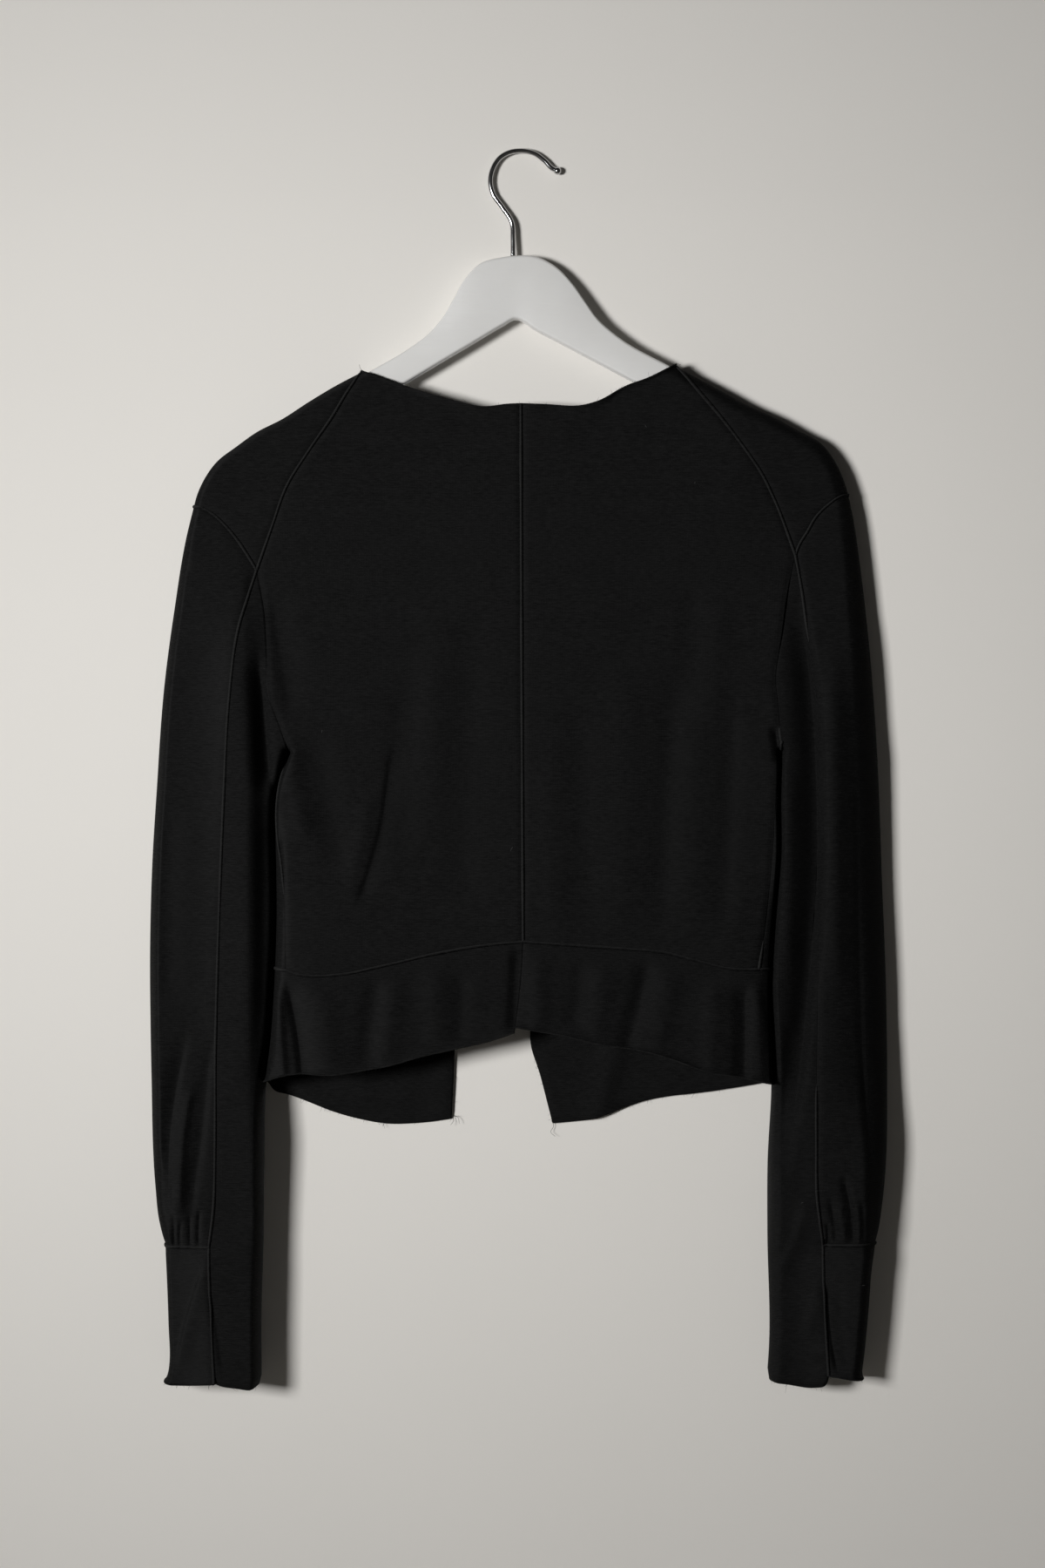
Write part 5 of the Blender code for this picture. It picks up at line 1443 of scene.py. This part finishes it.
def frayed(sizes):
    """Short fibres that stand off the raw edges, each a thin tapering three-sided tube.

    A fibre starts on the edge, runs on past it, and bends by a random amount.
    """
    rng = np.random.default_rng(FRAY_SEED)
    rings = []
    for side, *_ in SIDES:
        for kind, (_, _, raw, *_) in PANELS.items():
            for edge in raw:
                grid = GRIDS[f"{kind}_{side}"]
                here = row_at(grid, edge)
                run = lengths(here)
                count = int(stretches(here).sum() / sizes.fibre_gap)
                share = np.sort(rng.uniform(0, 1, count))
                base = read_at(share, run, here)
                out = unit(base - read_at(share, run, row_at(grid, edge, 2)))
                rings += [fibre(p, way, rng, sizes) for p, way in zip(base, out)]
    return rings


def fibre(start, way, rng, sizes):
    """One fibre: a point moved along a direction that turns a little at each step."""
    reach = sizes.fray * rng.uniform(FIBRE_LEAST, 1.0) ** 2
    turn = rng.normal(0, FIBRE_STRAY, 3)
    way = way + rng.normal(0, FIBRE_STRAY, 3)
    turn[1], way[1] = -abs(turn[1]), -abs(way[1])
    t = np.linspace(0, 1, FIBRE_RINGS)[:, None]
    path = start + reach * (t * way + t**2 * turn)
    normal = unit(np.cross(np.gradient(path, axis=0), OFF_AXIS))
    thick = sizes.fibre * (1 - FIBRE_TAPER * t[:, 0])
    return swept(path, normal, thick, thick, sides=3)


def on_cloth(x, z, layer, sizes):
    """A point on the outer face of whichever panel lies at x, z."""
    side = SIDES[0] if x < 0 else SIDES[1]
    tables, body_folds, sleeve_folds = side[1:]
    body = Form(tables, "body", body_folds, sizes)
    seam = body.curve["body_side"]
    part = "body"
    if z < seam[0, 1]:
        down = np.argsort(seam[:, 1])
        if abs(x) > abs(np.interp(z, seam[down, 1], seam[down, 0])):
            part = "sleeve"
    form = body if part == "body" else Form(tables, "sleeve", sleeve_folds, sizes)
    point = form.points(np.array([[x, z]]), layer)[0]
    return point + np.array([0.0, layer * sizes.wall / 2, 0.0])


def loose_threads(sizes):
    """The longer threads that hang at the corners of the raw edges."""
    rings = []
    for layer, *points in THREADS:
        first = on_cloth(points[0][0] * MM, points[0][1] * MM, layer, sizes)
        line = smooth_curve(np.array(points) * MM, per_span=5)
        sway = THREAD_SWAY * np.sin(np.linspace(0, THREAD_SWING, len(line)))
        path = np.stack([line[:, 0], first[1] + sway, line[:, 1]], 1)
        normal = unit(np.cross(np.gradient(path, axis=0), OFF_THREAD))
        thick = sizes.fibre * THREAD_THICK * np.linspace(1, THREAD_TIP, len(path))
        rings.append(swept(path, normal, thick, thick, sides=5))
    return rings


# specks of fluff, in mm and degrees: x, z, length, angle
LINT = (
    (-6.1, -483.6, 3.2, 62), (-137.0, -402.4, 2.0, 80), (86.7, -190.9, 1.6, 120),
    (120.6, -230.3, 1.4, 30), (193.9, -727.2, 1.8, 20), (236.3, -784.8, 2.2, 10),
)
LINT_RINGS = 7
LINT_BOW = 0.35          # how curled a speck is, as a share of its length
LINT_RISE, LINT_ARCH = 0.0002, 0.0006   # how far its middle and its ends stand off
LINT_THICK, LINT_TAPER = 0.0004, 1.2    # its thickness, and how soon its ends thin


def lint_specks(sizes):
    """Curled specks lying on the cloth: arcs of a thin tube."""
    rings = []
    for x, z, size, angle in LINT:
        t = np.linspace(-0.5, 0.5, LINT_RINGS)
        bow = LINT_BOW * (0.25 - t**2)
        cos, sin = math.cos(math.radians(angle)), math.sin(math.radians(angle))
        across, up = np.array((t * cos - bow * sin, t * sin + bow * cos)) * size * MM
        middle = on_cloth(x * MM, z * MM, BACK, sizes)
        path = middle + np.stack([across, -LINT_RISE - LINT_ARCH * t**2, up], 1)
        thick = LINT_THICK * (1 - LINT_TAPER * t**2)
        normal = np.tile(TO_CAMERA, (LINT_RINGS, 1))
        rings.append(swept(path, normal, thick, thick, sides=6))
    return rings


# ---- hanger and hook --------------------------------------------------------------------------
def hanger_wood(context):
    """The hanger: a board with rounded corners carried along its two arms.

    The section is a rectangle whose corners are quarter circles, and its top and
    underside follow two smooth curves.
    """
    sizes = context.scene.cardigan_hanger
    line = smooth_curve(np.array(HANGER) * (1, 1, 1, HANGER_SHARE), per_span=7)
    turn = 2 * math.pi * (np.arange(sizes.arm_sides) + 0.5) / sizes.arm_sides
    across, up = np.cos(turn), np.sin(turn)
    x, top, under, share = (line[:, k, None] for k in range(4))
    share = share / HANGER_SHARE
    half = (top - under) / 2
    corner = np.minimum(sizes.corner, half) * share
    wide = sizes.thickness / 2 * share
    rings = np.stack([
        x + 0 * across, (wide - corner) * np.sign(across) + corner * across,
        (top + under) / 2 + (half - corner) * np.sign(up) + corner * up,
    ], -1)
    obj = tubes("hanger_wood", [rings], white_paint(context))
    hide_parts("hanger")
    return {"FINISHED"}


def hook_wire(context):
    """The hook: a round wire carried along a bent line to a ball at its tip."""
    sizes = context.scene.cardigan_hanger
    line = smooth_curve(HOOK, per_span=14)
    line[:, 1] += HOOK_SEAT_GAP * np.linspace(1, 0, len(line)) ** SEAT_FADE
    total = stretches(line).sum()
    centre = along(line, np.linspace(0, 1, HOOK_RINGS))
    run = np.linspace(0, total, HOOK_RINGS)
    centre = centre[run < total - 2 * sizes.tip]
    ball = np.linspace(BALL_FROM, 1.0, BALL_RINGS)
    heads = centre[-1] + unit(centre[-1] - centre[-2]) * (ball[:, None] + BALL_ON) * sizes.tip
    swell = sizes.tip * np.sqrt(np.maximum(1 - ball**2, BALL_FLAT))
    radius = np.concatenate([np.full(len(centre), sizes.wire / 2), swell])
    centre = np.vstack([centre, heads])
    path = np.stack([centre[:, 0], 0 * centre[:, 0], centre[:, 1]], 1)
    normal = np.tile(TO_CAMERA, (len(path), 1))
    rings = swept(path, normal, 2 * radius, 2 * radius, sizes.wire_sides)
    obj = tubes("hook_wire", [rings], bright_metal(context))
    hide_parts("hook")
    return {"FINISHED"}


# ---- studio -------------------------------------------------------------------------------------
def stage_sheet(name, wide, deep, height, material):
    """A sheet of the studio, level from side to side, that follows a line of y and z."""
    side = np.array([-wide, wide])
    points = np.stack(np.broadcast_arrays(side, deep[:, None], height[:, None]), -1)
    mesh = bpy.data.meshes.new(name)
    mesh.from_pydata(points.reshape(-1, 3).tolist(), [], grid_faces(len(deep), 2).tolist())
    mesh.shade_smooth()
    mesh.materials.append(material)
    obj = bpy.data.objects.new(name, mesh)
    bpy.context.scene.collection.objects.link(obj)


def soft_light(name, place, aim, size, power, spread):
    """A square area light turned to face a point."""
    data = bpy.data.lights.new(name, "AREA")
    data.shape = "SQUARE"
    data.size = size
    data.energy = power
    data.spread = math.radians(spread)
    obj = bpy.data.objects.new(name, data)
    obj.location = place
    way = np.array(aim, float) - np.array(place, float)
    flat = math.hypot(way[0], way[1])
    obj.rotation_euler = (math.atan2(flat, -way[2]), 0.0, math.atan2(way[0], -way[1]) + math.pi)
    bpy.context.scene.collection.objects.link(obj)


def studio(context):
    """The wall close behind the garment, a floor below, soft lights and the camera."""
    room = context.scene.cardigan_studio
    low = -room.floor_drop
    bend = np.linspace(HANGER_FOOT, HANGER_FOOT + WALL_RISE, WALL_ROWS)
    height = np.concatenate([[low, WALL_KNEE], bend, [ROOM_TOP]])
    deep = room.wall_gap + room.wall_tilt * (HANGER_FOOT - np.maximum(height, WALL_KNEE))
    deep -= WALL_LEAN * smoothstep((height - HANGER_FOOT) / WALL_RISE)
    deep[-1] = deep[-2]
    stage_sheet("studio_wall", ROOM_SIDE, deep, height,
                studio_plaster(context, "plaster_wall", True))
    stage_sheet("studio_floor", ROOM_SIDE, np.array([-ROOM_SIDE, ROOM_SIDE]),
                np.full(2, low), studio_plaster(context, "plaster_floor", False))
    for name, (place, aim, size, spread) in LIGHTS.items():
        soft_light(name, place, aim or (0.0, 0.0, room.aim_z), size, getattr(room, name),
                   spread)
    world = bpy.data.worlds.new("room_light")
    world.use_nodes = True
    background = world.node_tree.nodes["Background"]
    set_inputs(world.node_tree, background, {"Color": SKY, "Strength": room.sky})
    context.scene.world = world
    context.scene.view_settings.view_transform = "Standard"
    data = bpy.data.cameras.new("camera")
    data.sensor_width = SENSOR
    data.lens = SENSOR * room.distance / room.seen
    data.clip_start, data.clip_end = 0.05, 50.0
    camera = bpy.data.objects.new("camera", data)
    camera.location = (room.aim_x, -room.distance, room.aim_z)
    camera.rotation_euler = (math.pi / 2, 0.0, 0.0)
    context.scene.collection.objects.link(camera)
    context.scene.camera = camera
    return {"FINISHED"}


# ---- operators ------------------------------------------------------------------------------------
class Step:
    """What every step of the build shares."""

    bl_options = {"REGISTER", "UNDO"}


class CARDIGAN_OT_hanger(Step, Operator):
    """Build the painted wooden hanger"""

    bl_idname = "cardigan.hanger"
    bl_label = "Hanger"

    def execute(self, context):
        return hanger_wood(context)


class CARDIGAN_OT_hook(Step, Operator):
    """Bend the bright wire hook"""

    bl_idname = "cardigan.hook"
    bl_label = "Hook"

    def execute(self, context):
        return hook_wire(context)


class CARDIGAN_OT_back_panels(Step, Operator):
    """Build the two back panels"""

    bl_idname = "cardigan.back_panels"
    bl_label = "Back Panels"

    def execute(self, context):
        return cloth(context, "back_panel")


class CARDIGAN_OT_front_panels(Step, Operator):
    """Build the two open front panels"""

    bl_idname = "cardigan.front_panels"
    bl_label = "Front Panels"

    def execute(self, context):
        return cloth(context, "front_panel")


class CARDIGAN_OT_hem_bands(Step, Operator):
    """Build the hem band's two halves"""

    bl_idname = "cardigan.hem_bands"
    bl_label = "Hem Bands"

    def execute(self, context):
        return cloth(context, "hem_band")


class CARDIGAN_OT_shoulder_caps(Step, Operator):
    """Build the caps over the shoulders"""

    bl_idname = "cardigan.shoulder_caps"
    bl_label = "Shoulder Caps"

    def execute(self, context):
        return cloth(context, "shoulder_cap")


class CARDIGAN_OT_upper_sleeves(Step, Operator):
    """Build the outer sleeves, gathered into their cuffs"""

    bl_idname = "cardigan.upper_sleeves"
    bl_label = "Outer Sleeves"

    def execute(self, context):
        return cloth(context, "sleeve_upper")


class CARDIGAN_OT_under_sleeves(Step, Operator):
    """Build the inner sleeves, from the underarm to the hem"""

    bl_idname = "cardigan.under_sleeves"
    bl_label = "Inner Sleeves"

    def execute(self, context):
        return cloth(context, "sleeve_under")


class CARDIGAN_OT_cuffs(Step, Operator):
    """Build the cuffs"""

    bl_idname = "cardigan.cuffs"
    bl_label = "Cuffs"

    def execute(self, context):
        return cloth(context, "cuff")


class CARDIGAN_OT_seams(Step, Operator):
    """Raise a cord along every seam"""

    bl_idname = "cardigan.seams"
    bl_label = "Seams"

    def execute(self, context):
        return seams(context)


class CARDIGAN_OT_raw_edges(Step, Operator):
    """Fray the raw edges and hang loose threads at their corners"""

    bl_idname = "cardigan.raw_edges"
    bl_label = "Raw Edges"

    def execute(self, context):
        sizes = context.scene.cardigan_cloth
        for name, rings in (("raw_edge_fray", frayed(sizes)),
                            ("loose_threads", loose_threads(sizes))):
            obj = tubes(name, rings, jersey(context, "jersey_seam"))
            obj.data.uv_layers.new(name="cloth")
        return {"FINISHED"}


class CARDIGAN_OT_lint(Step, Operator):
    """Lay specks of fluff on the knit"""

    bl_idname = "cardigan.lint"
    bl_label = "Lint"

    def execute(self, context):
        specks = lint_specks(context.scene.cardigan_cloth)
        tubes("lint_specks", specks, lint_fluff(context))
        return {"FINISHED"}


class CARDIGAN_OT_studio(Step, Operator):
    """Set the wall, the floor, the lights and the camera"""

    bl_idname = "cardigan.studio"
    bl_label = "Studio"

    def execute(self, context):
        return studio(context)


STEPS = (
    CARDIGAN_OT_hanger, CARDIGAN_OT_hook, CARDIGAN_OT_back_panels, CARDIGAN_OT_front_panels,
    CARDIGAN_OT_hem_bands, CARDIGAN_OT_shoulder_caps, CARDIGAN_OT_upper_sleeves,
    CARDIGAN_OT_under_sleeves, CARDIGAN_OT_cuffs, CARDIGAN_OT_seams, CARDIGAN_OT_raw_edges,
    CARDIGAN_OT_lint, CARDIGAN_OT_studio,
)
SETTINGS = (
    ("cardigan_cloth", ClothSizes), ("cardigan_hanger", HangerSizes),
    ("cardigan_colours", Colours), ("cardigan_studio", Studio),
)


class CARDIGAN_PT_build(Panel):
    """Lists the steps of the build and their settings"""

    bl_label = "Cardigan"
    bl_idname = "CARDIGAN_PT_build"
    bl_space_type = "VIEW_3D"
    bl_region_type = "UI"
    bl_category = "Cardigan"

    def draw(self, context):
        for step in STEPS:
            self.layout.operator(step.bl_idname)
        for name, kind in SETTINGS:
            box = self.layout.box()
            for setting in kind.__annotations__:
                box.prop(getattr(context.scene, name), setting)


def register():
    """Register the settings, the steps and the panel."""
    for name, kind in SETTINGS:
        bpy.utils.register_class(kind)
        setattr(bpy.types.Scene, name, PointerProperty(type=kind))
    for kind in (*STEPS, CARDIGAN_PT_build):
        bpy.utils.register_class(kind)


def unregister():
    """Take them out again."""
    for kind in reversed((*STEPS, CARDIGAN_PT_build)):
        bpy.utils.unregister_class(kind)
    for name, kind in reversed(SETTINGS):
        delattr(bpy.types.Scene, name)
        bpy.utils.unregister_class(kind)


def corners(box):
    """A box's two corners as plain lists."""
    return [[float(v) for v in corner] for corner in box]


def main():
    """Build everything in order."""
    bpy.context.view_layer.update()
    register()
    for step in STEPS:
        group, name = step.bl_idname.split(".")
        getattr(getattr(bpy.ops, group), name)()


if __name__ == "__main__":
    main()
